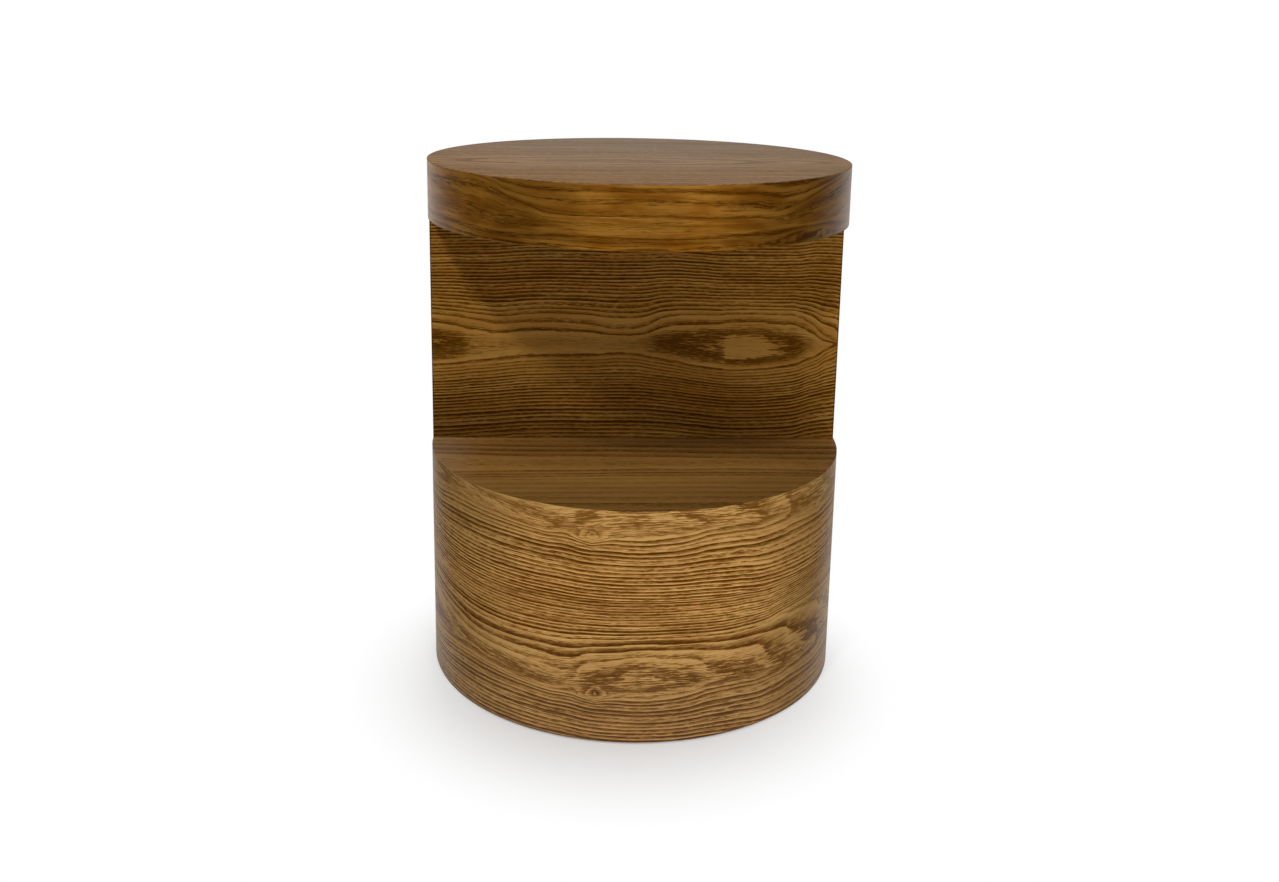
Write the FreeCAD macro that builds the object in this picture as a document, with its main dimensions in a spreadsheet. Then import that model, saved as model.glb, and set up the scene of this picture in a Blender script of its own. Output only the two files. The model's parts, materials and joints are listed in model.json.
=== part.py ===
"""Round lamp table: a wrapped drum, a half-round column behind an open niche, and a thick round top.

The table stands on the XY plane with its axis on Z, and the niche opens towards -Y.
Each sub-part is an object of one document, sized from the sheet called sizes.
"""
import FreeCAD, Part
import math
import os

import Sketcher
from FreeCAD import Placement, Rotation, Vector

# The driving dimensions, in millimetres, degrees and counts

SIZES = {
    # The whole table
    "table_diameter": 400,
    "base_height": 219,
    "niche_height": 224,
    # Sheet goods
    "veneer_thick": 0.5,
    "board_thick": 18,
    "skin_thick": 5,
    "former_thick": 15,
    "arris_width": 0.3,
    "glue_line": 0.15,
    "seam_gap": 0.3,
    "fit_gap": 0.2,
    # The core of the top
    "core_ring_width": 60,
    "core_bar_width": 80,
    # Upright battens of the column and the drum
    "stile_width": 40,
    "stile_depth": 30,
    "stud_width": 50,
    "stud_depth": 28,
    "stud_count": 6,
    "stud_first_angle": 30,
    "former_ring_width": 55,
    # Dowels between the column and its neighbours
    "dowel_diameter": 8,
    "dowel_length": 30,
    "dowel_end_gap": 1,
    "dowel_chamfer": 1,
    "dowel_inset": 100,
    "dowel_first_angle": 45,
    "dowel_spread_angle": 90,
    "dowel_count": 2,
    # Screws
    "screw_head_diameter": 8,
    "screw_shank_diameter": 4,
    "screw_tip_length": 4,
    "screw_clearance": 0.2,
    "screw_end_gap": 1,
    "joint_screw_length": 32,
    "joint_screw_inset": 60,
    "joint_screw_first_angle": 25,
    "joint_screw_spread_angle": 130,
    "joint_screw_count": 4,
    "bottom_screw_length": 40,
    # Glides under the drum
    "glide_diameter": 24,
    "glide_thick": 5,
    "glide_standoff": 2,
    "glide_edge_radius": 1,
    "glide_inset": 45,
    "glide_first_angle": 45,
    "glide_count": 4,
    "nail_diameter": 2.5,
    "nail_length": 14,
    "nail_head_diameter": 7,
    "nail_head_thick": 1,
    "nail_head_depth": 2.5,
}

COUNTERSINK_ANGLE = 90
FULL_TURN = 360
HALF_TURN = 180
BACK_ANGLE = "90"

# Places worked out from the driving dimensions, as expressions on the sheet

RADIUS = "(sizes.table_diameter / 2)"
VENEER_BACK = f"({RADIUS} - sizes.veneer_thick)"
BOARD_RADIUS = f"({VENEER_BACK} - sizes.glue_line)"
OUTER_SKIN_BACK = f"({BOARD_RADIUS} - sizes.skin_thick)"
INNER_SKIN_RADIUS = f"({OUTER_SKIN_BACK} - sizes.glue_line)"
INNER_SKIN_BACK = f"({INNER_SKIN_RADIUS} - sizes.skin_thick)"
FRAME_RADIUS = f"({INNER_SKIN_BACK} - sizes.glue_line)"
SHELF_LEVEL = "(sizes.glide_standoff + sizes.base_height)"
COLUMN_FOOT = f"({SHELF_LEVEL} - sizes.veneer_thick)"
COLUMN_HEIGHT = "(sizes.niche_height + 2 * sizes.veneer_thick)"
COLUMN_HEAD = f"({COLUMN_FOOT} + {COLUMN_HEIGHT})"
CORE_LEVEL = f"({COLUMN_HEAD} + sizes.board_thick)"
TOP_BOARD_LEVEL = f"({CORE_LEVEL} + sizes.board_thick)"
TOP_VENEER_LEVEL = f"({TOP_BOARD_LEVEL} + sizes.board_thick)"
FACE_BOARD_BACK = "(sizes.veneer_thick + sizes.board_thick)"
BASE_BOARD_LEVEL = f"({COLUMN_FOOT} - sizes.board_thick)"
SKIN_HEIGHT = f"({BASE_BOARD_LEVEL} - sizes.glide_standoff)"
STUD_LEVEL = "(sizes.glide_standoff + sizes.board_thick)"
STUD_HEIGHT = f"({BASE_BOARD_LEVEL} - {STUD_LEVEL})"
STILE_HEIGHT = f"({COLUMN_HEIGHT} - 2 * sizes.board_thick)"
CORE_HOLE_RADIUS = f"({BOARD_RADIUS} - sizes.core_ring_width)"
STUD_CENTRE = f"({FRAME_RADIUS} - sizes.stud_depth / 2)"
GLIDE_CIRCLE = f"({RADIUS} - sizes.glide_inset)"
SCREW_CIRCLE = f"({RADIUS} - sizes.joint_screw_inset)"
DOWEL_CIRCLE = f"({RADIUS} - sizes.dowel_inset)"
SCREW_HOLE = "(sizes.screw_shank_diameter + 2 * sizes.screw_clearance)"
JOINT_PILOT_DEPTH = "(sizes.joint_screw_length - sizes.board_thick + sizes.screw_end_gap)"
STUD_PILOT_DEPTH = "(sizes.bottom_screw_length - sizes.board_thick + sizes.screw_end_gap)"
DOWEL_HOLE_DEPTH = "(sizes.dowel_length / 2 + sizes.dowel_end_gap)"
GLIDE_RECESS = "(sizes.glide_thick - sizes.glide_standoff)"

# Sketch references: the origin, and the numbers that name a curve's start, end and centre

ORIGIN = (-1, 1)
START = 1
END = 2
CENTRE = 3
UP = Vector(0, 0, 1)
LEFT_TURN = 1
RIGHT_TURN = -1

doc = FreeCAD.newDocument("lamp_table")
sheet = doc.addObject("Spreadsheet::Sheet", "sizes")
sub_parts = []


def fill_sheet():
    """Write each driving dimension to the sheet, with its name as the alias."""
    for row, (name, value) in enumerate(SIZES.items(), start=1):
        sheet.set(f"A{row}", name)
        sheet.set(f"B{row}", str(value))
        sheet.setAlias(f"B{row}", name)
    doc.recompute()


def size(expression):
    """Work out an expression on the sheet as a plain number."""
    return float(sheet.evalExpression(expression))


# Helpers that draw sketches and make features


def new_body(label, level, turn="0", axis=UP):
    """Start a sub-part in a frame of its own, raised to its level and turned about an axis."""
    body = doc.addObject("PartDesign::Body", label)
    body.Label = label
    body.Placement = Placement(Vector(), Rotation(axis, size(turn)))
    body.setExpression("Placement.Base.z", level)
    if size(turn):
        body.setExpression("Placement.Rotation.Angle", turn)
    sub_parts.append(body)
    return body


def origin_part(body, role):
    """Find one of the body's own origin planes or axes."""
    return next(part for part in body.Origin.OriginFeatures if part.Role == role)


def new_sketch(body, name, plane="XY_Plane", lift="0"):
    """Start a sketch on one of the body's planes, lifted along that plane's normal."""
    sketch = body.newObject("Sketcher::SketchObject", f"{body.Name}_{name}")
    sketch.AttachmentSupport = [(origin_part(body, plane), "")]
    sketch.MapMode = "FlatFace"
    sketch.setExpression("AttachmentOffset.Base.z", lift)
    return sketch


def tie(sketch, expression, kind, *places):
    """Add a driving constraint whose value is an expression on the sheet."""
    index = sketch.addConstraint(Sketcher.Constraint(kind, *places, size(expression)))
    sketch.setExpression(f"Constraints[{index}]", expression)


def join(sketch, first, second):
    """Make two points of a sketch coincide."""
    sketch.addConstraint(Sketcher.Constraint("Coincident", *first, *second))


def draw_circle(sketch, radius, x="0", y="0"):
    """Draw a circle, about the axis unless a centre is given."""
    centre = Vector(size(x), size(y))
    ring = sketch.addGeometry(Part.Circle(centre, UP, size(radius)))
    if centre.Length:
        tie(sketch, x, "DistanceX", *ORIGIN, ring, CENTRE)
        tie(sketch, y, "DistanceY", *ORIGIN, ring, CENTRE)
    else:
        join(sketch, (ring, CENTRE), ORIGIN)
    tie(sketch, radius, "Radius", ring)


def draw_outline(sketch, corners, arcs=None):
    """Draw a closed outline through corners given as pairs of expressions.

    arcs gives, for the sides that are arcs about the axis, the side's number, its radius and its turn.
    A corner on an arc is tied by its second value alone, because the arc settles the first.
    """
    arcs = arcs or {}
    count = len(corners)
    points = [Vector(size(x), size(y)) for x, y in corners]
    starts = []
    ends = []
    for side, point in enumerate(points):
        following = points[(side + 1) % count]
        if side in arcs:
            radius, turn = arcs[side]
            first, last = (point, following) if turn == LEFT_TURN else (following, point)
            circle = Part.Circle(Vector(), UP, size(radius))
            angles = [math.atan2(end.y, end.x) for end in (first, last)]
            curve = sketch.addGeometry(Part.ArcOfCircle(circle, *angles))
            join(sketch, (curve, CENTRE), ORIGIN)
            tie(sketch, radius, "Radius", curve)
        else:
            turn = LEFT_TURN
            curve = sketch.addGeometry(Part.LineSegment(point, following))
        starts.append((curve, START if turn == LEFT_TURN else END))
        ends.append((curve, END if turn == LEFT_TURN else START))
    for side, (x, y) in enumerate(corners):
        before = side - 1
        join(sketch, ends[before], starts[side])
        on_arc = side in arcs or before % count in arcs
        if not on_arc:
            tie(sketch, x, "DistanceX", *ORIGIN, *starts[side])
        tie(sketch, y, "DistanceY", *ORIGIN, *starts[side])


def pad(body, sketch, height):
    """Extrude a sketch upwards."""
    feature = body.newObject("PartDesign::Pad", f"{body.Name}_pad")
    feature.Profile = sketch
    feature.setExpression("Length", height)
    doc.recompute()
    return feature


def cut_upwards(body, sketch, name):
    """Cut a sketch on the body's lower plane right through the body."""
    feature = body.newObject("PartDesign::Pocket", f"{body.Name}_{name}")
    feature.Profile = sketch
    feature.Type = "ThroughAll"
    feature.Reversed = True
    doc.recompute()
    return feature


def revolve(body, sketch, angle, reverse=False):
    """Turn a sketch on the body's front plane about the vertical axis."""
    feature = body.newObject("PartDesign::Revolution", f"{body.Name}_turning")
    feature.Profile = sketch
    feature.ReferenceAxis = (sketch, ["V_Axis"])
    feature.Angle = angle
    feature.Reversed = reverse
    doc.recompute()
    return feature


def repeat_round(body, feature, count, spread=None):
    """Repeat a feature about the axis, all the way round or over a spread."""
    pattern = body.newObject("PartDesign::PolarPattern", f"{feature.Name}_ring")
    pattern.Originals = [feature]
    pattern.Axis = (origin_part(body, "Z_Axis"), [""])
    pattern.Angle = FULL_TURN
    if spread:
        pattern.setExpression("Angle", spread)
    pattern.setExpression("Occurrences", count)
    body.Tip = pattern
    doc.recompute()
    return pattern


def drill(body, name, where, diameter, depth=None, level="0", upwards=False, sink=None):
    """Drill one hole at a radius and an angle, through or to a depth, with an optional countersink."""
    circle, angle = where
    centre = new_sketch(body, f"{name}_centre", lift=level)
    draw_circle(centre, f"{diameter} / 2", f"{circle} * cos({angle})", f"{circle} * sin({angle})")
    doc.recompute()
    hole = body.newObject("PartDesign::Hole", f"{body.Name}_{name}")
    hole.Profile = centre
    doc.recompute()
    hole.ThreadType = "None"
    hole.setExpression("Diameter", diameter)
    hole.DrillPoint = "Flat"
    hole.Reversed = upwards
    if depth:
        hole.DepthType = "Dimension"
        hole.setExpression("Depth", depth)
    else:
        hole.DepthType = "ThroughAll"
    if sink:
        hole.HoleCutType = "Countersink"
        hole.HoleCutCustomValues = True
        hole.setExpression("HoleCutDiameter", sink)
        hole.HoleCutCountersinkAngle = COUNTERSINK_ANGLE
    doc.recompute()
    return hole


# Outlines that several sub-parts share


def chord_reach(radius, height):
    """Half the length of a chord across a circle, at a height above its centre."""
    return f"sqrt({radius}^2 - ({height})^2)"


def draw_half_round(sketch, radius, front):
    """A half-round outline: a straight front and an arc behind it."""
    reach = chord_reach(radius, front)
    corners = [(f"-{reach}", front), (reach, front)]
    draw_outline(sketch, corners, {1: (radius, LEFT_TURN)})


def draw_half_hoop(sketch, outer, inner, front):
    """A half-round strip behind a straight front, as thick as the two radii leave."""
    outer_reach = chord_reach(outer, front)
    inner_reach = chord_reach(inner, front)
    corners = [
        (outer_reach, front),
        (f"-{outer_reach}", front),
        (f"-{inner_reach}", front),
        (inner_reach, front),
    ]
    draw_outline(sketch, corners, {0: (outer, LEFT_TURN), 2: (inner, RIGHT_TURN)})


def draw_slab(sketch, radius, front, back):
    """A straight slab across a circle, with its two ends cut to the circle."""
    front_reach = chord_reach(radius, front)
    back_reach = chord_reach(radius, back)
    corners = [
        (f"-{front_reach}", front),
        (front_reach, front),
        (back_reach, back),
        (f"-{back_reach}", back),
    ]
    draw_outline(sketch, corners, {1: (radius, LEFT_TURN), 3: (radius, LEFT_TURN)})


def draw_batten(sketch, width, depth, gap="0"):
    """An upright batten on the X axis, with its outer face curved to the skin, or the notch for it."""
    half = f"({width} / 2 + {gap})"
    inner = f"({FRAME_RADIUS} - {depth} - {gap})"
    reach = chord_reach(FRAME_RADIUS, half)
    corners = [(inner, f"-{half}"), (reach, f"-{half}"), (reach, half), (inner, half)]
    draw_outline(sketch, corners, {1: (FRAME_RADIUS, LEFT_TURN)})


# Sub-parts that are made the same way


def make_disc(label, level, radius, thick="sizes.board_thick", hole=None):
    """A round board, or a ring where it has a hole."""
    body = new_body(label, level)
    outline = new_sketch(body, "outline")
    draw_circle(outline, radius)
    if hole:
        draw_circle(outline, hole)
    pad(body, outline, thick)
    return body


def make_hoop(label, level, outer, inner, height, seam_turn):
    """A sheet wrapped right round, with a fine butt seam at an angle."""
    body = new_body(label, level, turn=seam_turn)
    outline = new_sketch(body, "outline")
    draw_circle(outline, outer)
    draw_circle(outline, inner)
    pad(body, outline, height)
    seam = new_sketch(body, "seam_outline")
    half = "sizes.seam_gap / 2"
    start = f"({inner} - sizes.seam_gap)"
    stop = f"({outer} + sizes.seam_gap)"
    draw_outline(seam, [(start, f"-{half}"), (stop, f"-{half}"), (stop, half), (start, half)])
    cut_upwards(body, seam, "seam")
    return body


def make_half_hoop(label, outer, inner, front):
    """A sheet bent round the back of the column."""
    body = new_body(label, COLUMN_FOOT)
    outline = new_sketch(body, "outline")
    draw_half_hoop(outline, outer, inner, front)
    pad(body, outline, COLUMN_HEIGHT)
    return body


def make_slab(label, level, radius, front, back, height):
    """An upright panel or a flat bar, cut to the round at its ends."""
    body = new_body(label, level)
    outline = new_sketch(body, "outline")
    draw_slab(outline, radius, front, back)
    pad(body, outline, height)
    return body


def make_face_veneer(label, level, angle, eased_below=False):
    """A face veneer, round or over the front half, sanded to a fine arris along its edge."""
    body = new_body(label, level)
    profile = new_sketch(body, "profile", plane="XZ_Plane")
    eased = f"({RADIUS} - sizes.arris_width)"
    thick = "sizes.veneer_thick"
    if eased_below:
        corners = [("0", "0"), (eased, "0"), (RADIUS, "sizes.arris_width"), (RADIUS, thick), ("0", thick)]
    else:
        shoulder = f"({thick} - sizes.arris_width)"
        corners = [("0", "0"), (RADIUS, "0"), (RADIUS, shoulder), (eased, thick), ("0", thick)]
    draw_outline(profile, corners)
    revolve(body, profile, angle, reverse=True)
    return body


def make_batten(label, level, height, turn):
    """An upright stud against the inside of a bent skin."""
    body = new_body(label, level, turn=turn)
    outline = new_sketch(body, "outline")
    draw_batten(outline, "sizes.stud_width", "sizes.stud_depth")
    pad(body, outline, height)
    return body


def make_screws(label, level, length, circle, first_angle, count, spread=None, downwards=False):
    """A ring of countersunk wood screws with their heads flush with a level."""
    turn = str(HALF_TURN) if downwards else "0"
    body = new_body(label, level, turn=turn, axis=Vector(0, 1, 0))
    body.AllowCompound = True
    profile = new_sketch(body, "profile", plane="XZ_Plane")
    head = "sizes.screw_head_diameter / 2"
    shank = "sizes.screw_shank_diameter / 2"
    neck = f"({head} - {shank})"
    shoulder = f"({length} - sizes.screw_tip_length)"
    draw_outline(profile, [("0", "0"), (head, "0"), (shank, neck), (shank, shoulder), ("0", length)])
    place_profile(profile, circle, first_angle)
    screw = revolve(body, profile, FULL_TURN)
    repeat_round(body, screw, count, spread)
    return body


def place_profile(profile, circle, angle):
    """Move a turned profile's own axis out to a radius and an angle about the table's axis."""
    profile.setExpression("AttachmentOffset.Base.x", f"{circle} * cos({angle})")
    profile.setExpression("AttachmentOffset.Base.z", f"-{circle} * sin({angle})")


def make_dowels(label, joint_level):
    """A pair of dowels, half in each side of a joint."""
    body = new_body(label, f"{joint_level} - sizes.dowel_length / 2")
    body.AllowCompound = True
    profile = new_sketch(body, "profile", plane="XZ_Plane")
    radius = "sizes.dowel_diameter / 2"
    tip = f"({radius} - sizes.dowel_chamfer)"
    length = "sizes.dowel_length"
    shoulder = f"({length} - sizes.dowel_chamfer)"
    corners = [
        ("0", "0"),
        (tip, "0"),
        (radius, "sizes.dowel_chamfer"),
        (radius, shoulder),
        (tip, length),
        ("0", length),
    ]
    draw_outline(profile, corners)
    place_profile(profile, DOWEL_CIRCLE, "sizes.dowel_first_angle")
    dowel = revolve(body, profile, FULL_TURN)
    repeat_round(body, dowel, "sizes.dowel_count", "sizes.dowel_spread_angle")
    return body


def drill_joint(body, level, upwards, dowel_level, dowels_upwards, screw_depth=None, sink=None):
    """Drill the screw holes and the dowel holes of one side of a joint."""
    screws = drill(
        body,
        "screw_hole",
        (SCREW_CIRCLE, "sizes.joint_screw_first_angle"),
        SCREW_HOLE,
        screw_depth,
        level,
        upwards,
        sink,
    )
    repeat_round(body, screws, "sizes.joint_screw_count", "sizes.joint_screw_spread_angle")
    dowels = drill(
        body,
        "dowel_hole",
        (DOWEL_CIRCLE, "sizes.dowel_first_angle"),
        "sizes.dowel_diameter",
        DOWEL_HOLE_DEPTH,
        dowel_level,
        dowels_upwards,
    )
    repeat_round(body, dowels, "sizes.dowel_count", "sizes.dowel_spread_angle")


# The top: three boards in a stack, with veneer on both faces and round the rim


def make_top():
    make_face_veneer("top_face_veneer", TOP_VENEER_LEVEL, FULL_TURN)
    make_disc("top_face_board", TOP_BOARD_LEVEL, BOARD_RADIUS)
    make_disc("top_core_ring", CORE_LEVEL, BOARD_RADIUS, hole=CORE_HOLE_RADIUS)
    half_bar = "sizes.core_bar_width / 2"
    bar_radius = f"({CORE_HOLE_RADIUS} - sizes.fit_gap)"
    make_slab("top_core_bar", CORE_LEVEL, bar_radius, f"-{half_bar}", half_bar, "sizes.board_thick")
    under = make_disc("top_under_board", COLUMN_HEAD, BOARD_RADIUS)
    drill_joint(under, "sizes.board_thick", False, "0", True, sink="sizes.screw_head_diameter")
    under_veneer_level = f"({COLUMN_HEAD} - sizes.veneer_thick)"
    make_face_veneer("top_under_veneer", under_veneer_level, HALF_TURN, eased_below=True)
    rim_height = f"({TOP_VENEER_LEVEL} - {COLUMN_HEAD})"
    make_hoop("top_rim_veneer", COLUMN_HEAD, RADIUS, VENEER_BACK, rim_height, BACK_ANGLE)


# The column: a flat face board, three half-round formers, upright battens and two bent skins


def make_stile(label, side):
    """An upright batten in the corner between the face board and the bent skin."""
    body = new_body(label, f"{COLUMN_FOOT} + sizes.board_thick")
    outline = new_sketch(body, "outline")
    draw_stile(outline, side)
    pad(body, outline, STILE_HEIGHT)
    return body


def draw_stile(sketch, side, gap="0"):
    """The outline of a corner stile on the right or left, or of the notch that it stands in."""
    sign = "" if side == "right" else "-"
    front = FACE_BOARD_BACK
    back = f"({front} + sizes.stile_depth + {gap})"
    front_reach = chord_reach(FRAME_RADIUS, front)
    back_reach = chord_reach(FRAME_RADIUS, back)
    inner = f"({front_reach} - sizes.stile_width - {gap})"
    corners = [
        (f"{sign}{inner}", front),
        (f"{sign}{front_reach}", front),
        (f"{sign}{back_reach}", back),
        (f"{sign}{inner}", back),
    ]
    turn = LEFT_TURN if side == "right" else RIGHT_TURN
    draw_outline(sketch, corners, {1: (FRAME_RADIUS, turn)})


def make_former(label, level, thick):
    """A half-round rib of the column."""
    body = new_body(label, level)
    outline = new_sketch(body, "outline")
    draw_half_round(outline, FRAME_RADIUS, FACE_BOARD_BACK)
    pad(body, outline, thick)
    return body


def make_column():
    make_slab("column_face_veneer", COLUMN_FOOT, RADIUS, "0", "sizes.veneer_thick", COLUMN_HEIGHT)
    make_slab(
        "column_face_board",
        COLUMN_FOOT,
        BOARD_RADIUS,
        "sizes.veneer_thick",
        FACE_BOARD_BACK,
        COLUMN_HEIGHT,
    )
    board = "sizes.board_thick"
    bottom = make_former("column_bottom_former", COLUMN_FOOT, board)
    drill_joint(bottom, "0", True, "0", True, JOINT_PILOT_DEPTH)
    top = make_former("column_top_former", f"{COLUMN_HEAD} - {board}", board)
    drill_joint(top, board, False, board, False, JOINT_PILOT_DEPTH)
    middle_level = f"{COLUMN_FOOT} + ({COLUMN_HEIGHT} - sizes.former_thick) / 2"
    middle = make_former("column_middle_former", middle_level, "sizes.former_thick")
    for side in ("left", "right"):
        notch = new_sketch(middle, f"{side}_notch_outline")
        draw_stile(notch, side, "sizes.fit_gap")
        cut_upwards(middle, notch, f"{side}_notch")
        make_stile(f"column_{side}_stile", side)
    back_notch = new_sketch(middle, "back_notch_outline")
    back_notch.setExpression("AttachmentOffset.Rotation.Angle", BACK_ANGLE)
    draw_batten(back_notch, "sizes.stud_width", "sizes.stud_depth", "sizes.fit_gap")
    cut_upwards(middle, back_notch, "back_notch")
    make_batten("column_back_stud", f"{COLUMN_FOOT} + {board}", STILE_HEIGHT, BACK_ANGLE)
    make_half_hoop("column_inner_skin", INNER_SKIN_RADIUS, INNER_SKIN_BACK, FACE_BOARD_BACK)
    make_half_hoop("column_outer_skin", BOARD_RADIUS, OUTER_SKIN_BACK, FACE_BOARD_BACK)
    make_half_hoop("column_back_veneer", RADIUS, VENEER_BACK, "sizes.veneer_thick")


# The base: two discs and a notched ring on six studs, wrapped in two bent skins and a veneer


def stud_angle(number):
    """The angle of one stud about the axis."""
    return f"(sizes.stud_first_angle + {number} * {FULL_TURN} / sizes.stud_count)"


def make_base():
    make_face_veneer("base_shelf_veneer", COLUMN_FOOT, HALF_TURN)
    top = make_disc("base_top_board", BASE_BOARD_LEVEL, BOARD_RADIUS)
    drill_joint(top, "0", True, "sizes.board_thick", False, sink="sizes.screw_head_diameter")
    make_base_ring()
    make_base_bottom()
    for number in range(SIZES["stud_count"]):
        stud = make_batten(f"base_stud_{number + 1}", STUD_LEVEL, STUD_HEIGHT, stud_angle(number))
        drill(stud, "pilot_hole", (STUD_CENTRE, "0"), SCREW_HOLE, STUD_PILOT_DEPTH, upwards=True)
    level = "sizes.glide_standoff"
    make_hoop("base_inner_skin", level, INNER_SKIN_RADIUS, INNER_SKIN_BACK, SKIN_HEIGHT, stud_angle(0))
    make_hoop("base_outer_skin", level, BOARD_RADIUS, OUTER_SKIN_BACK, SKIN_HEIGHT, stud_angle(2))
    wrap_height = f"({COLUMN_FOOT} - sizes.glide_standoff)"
    make_hoop("base_wrap_veneer", level, RADIUS, VENEER_BACK, wrap_height, BACK_ANGLE)


def make_base_ring():
    """The ring half-way up the drum, notched for the studs."""
    level = f"{STUD_LEVEL} + ({STUD_HEIGHT} - sizes.former_thick) / 2"
    hole = f"({FRAME_RADIUS} - sizes.former_ring_width)"
    ring = make_disc("base_middle_former", level, FRAME_RADIUS, "sizes.former_thick", hole)
    notch = new_sketch(ring, "notch_outline")
    notch.setExpression("AttachmentOffset.Rotation.Angle", "sizes.stud_first_angle")
    draw_batten(notch, "sizes.stud_width", "sizes.stud_depth", "sizes.fit_gap")
    repeat_round(ring, cut_upwards(ring, notch, "notch"), "sizes.stud_count")


def make_base_bottom():
    """The bottom disc, with its screw holes and the recesses for the glides and their nails."""
    bottom = make_disc("base_bottom_board", "sizes.glide_standoff", FRAME_RADIUS)
    screw_place = (STUD_CENTRE, "sizes.stud_first_angle")
    screws = drill(
        bottom,
        "screw_hole",
        screw_place,
        SCREW_HOLE,
        upwards=True,
        sink="sizes.screw_head_diameter",
    )
    repeat_round(bottom, screws, "sizes.stud_count")
    glide_place = (GLIDE_CIRCLE, "sizes.glide_first_angle")
    recess_width = "(sizes.glide_diameter + 2 * sizes.fit_gap)"
    recess = drill(bottom, "glide_recess", glide_place, recess_width, GLIDE_RECESS, upwards=True)
    repeat_round(bottom, recess, "sizes.glide_count")
    nail_depth = "(sizes.nail_head_depth - sizes.glide_standoff + sizes.nail_length)"
    nail = drill(bottom, "nail_hole", glide_place, "sizes.nail_diameter", nail_depth, upwards=True)
    repeat_round(bottom, nail, "sizes.glide_count")


# Glides and fasteners


def make_glide(number):
    """A low nylon glide with a rounded rim and a sunk hole for its nail."""
    angle = f"(sizes.glide_first_angle + {number} * {FULL_TURN} / sizes.glide_count)"
    body = new_body(f"glide_{number + 1}", "0", turn=angle)
    profile = new_sketch(body, "profile", plane="XZ_Plane")
    rim = "sizes.glide_diameter / 2"
    foot = f"({rim} - sizes.glide_edge_radius)"
    sink = "sizes.nail_head_diameter / 2 + sizes.fit_gap"
    bore = "sizes.nail_diameter / 2"
    corners = [
        (sink, "0"),
        (foot, "0"),
        (rim, "sizes.glide_edge_radius"),
        (rim, "sizes.glide_thick"),
        (bore, "sizes.glide_thick"),
        (bore, "sizes.nail_head_depth"),
        (sink, "sizes.nail_head_depth"),
    ]
    draw_outline(profile, corners)
    place_profile(profile, GLIDE_CIRCLE, "0")
    revolve(body, profile, FULL_TURN)


def make_nails():
    """The nails of the glides, with their heads sunk in the glides."""
    body = new_body("glide_nails", "sizes.nail_head_depth - sizes.nail_head_thick")
    body.AllowCompound = True
    profile = new_sketch(body, "profile", plane="XZ_Plane")
    head = "sizes.nail_head_diameter / 2"
    shank = "sizes.nail_diameter / 2"
    thick = "sizes.nail_head_thick"
    length = f"({thick} + sizes.nail_length)"
    shoulder = f"({length} - sizes.nail_diameter)"
    draw_outline(
        profile,
        [("0", "0"), (head, "0"), (head, thick), (shank, thick), (shank, shoulder), ("0", length)],
    )
    place_profile(profile, GLIDE_CIRCLE, "sizes.glide_first_angle")
    nail = revolve(body, profile, FULL_TURN)
    repeat_round(body, nail, "sizes.glide_count")


def make_fasteners():
    make_dowels("lower_dowels", COLUMN_FOOT)
    make_dowels("upper_dowels", COLUMN_HEAD)
    joint_screws = (
        "sizes.joint_screw_length",
        SCREW_CIRCLE,
        "sizes.joint_screw_first_angle",
        "sizes.joint_screw_count",
        "sizes.joint_screw_spread_angle",
    )
    make_screws("lower_screws", BASE_BOARD_LEVEL, *joint_screws)
    make_screws("upper_screws", CORE_LEVEL, *joint_screws, downwards=True)
    make_screws(
        "bottom_screws",
        "sizes.glide_standoff",
        "sizes.bottom_screw_length",
        STUD_CENTRE,
        "sizes.stud_first_angle",
        "sizes.stud_count",
    )
    for number in range(SIZES["glide_count"]):
        make_glide(number)
    make_nails()


# Checks before anything is written


def check_document():
    """Stop if an object failed, a cut took nothing away, or a shape is empty or broken."""
    for item in doc.Objects:
        if {"Invalid", "Error"} & set(item.State):
            raise RuntimeError(f"{item.Name} failed: {item.State}")
        cutting = item.isDerivedFrom("PartDesign::Pocket") or item.isDerivedFrom("PartDesign::Hole")
        if cutting and item.Shape.Volume >= item.BaseFeature.Shape.Volume:
            raise RuntimeError(f"{item.Name} cuts nothing")
    for body in sub_parts:
        if body.Shape.isNull() or not body.Shape.isValid():
            raise RuntimeError(f"{body.Label} has no valid shape")


def write_parts():
    """Write each sub-part to a file of its own."""
    os.makedirs("parts", exist_ok=True)
    for body in sub_parts:
        body.Shape.exportStep(f"parts/{body.Label}.step")
        box = body.Shape.BoundBox
        print(f"{body.Label}: {len(body.Shape.Solids)} solid(s), {box.XLength:.1f} x {box.YLength:.1f}"
              f" x {box.ZLength:.1f} mm from z {box.ZMin:.1f}")


fill_sheet()
make_top()
make_column()
make_base()
make_fasteners()
doc.recompute()
check_document()
write_parts()
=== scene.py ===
# %% [markdown]
# # A round lamp table in stained oak veneer
#
# The real table is a drum, a half-round column and a thick round top, all covered in thin sheets of
# brown-stained oak veneer under a satin lacquer. The solid model already has every board, skin, stud and
# screw in its place. This lesson dresses it: it lays fine smooth veneer sheets over the faces that show,
# grows the figure of the oak in shader nodes, and sets up a plain studio.

# %% Load the solid model
import json
import math

import bmesh
import bpy
from mathutils import Matrix, Vector


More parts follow.
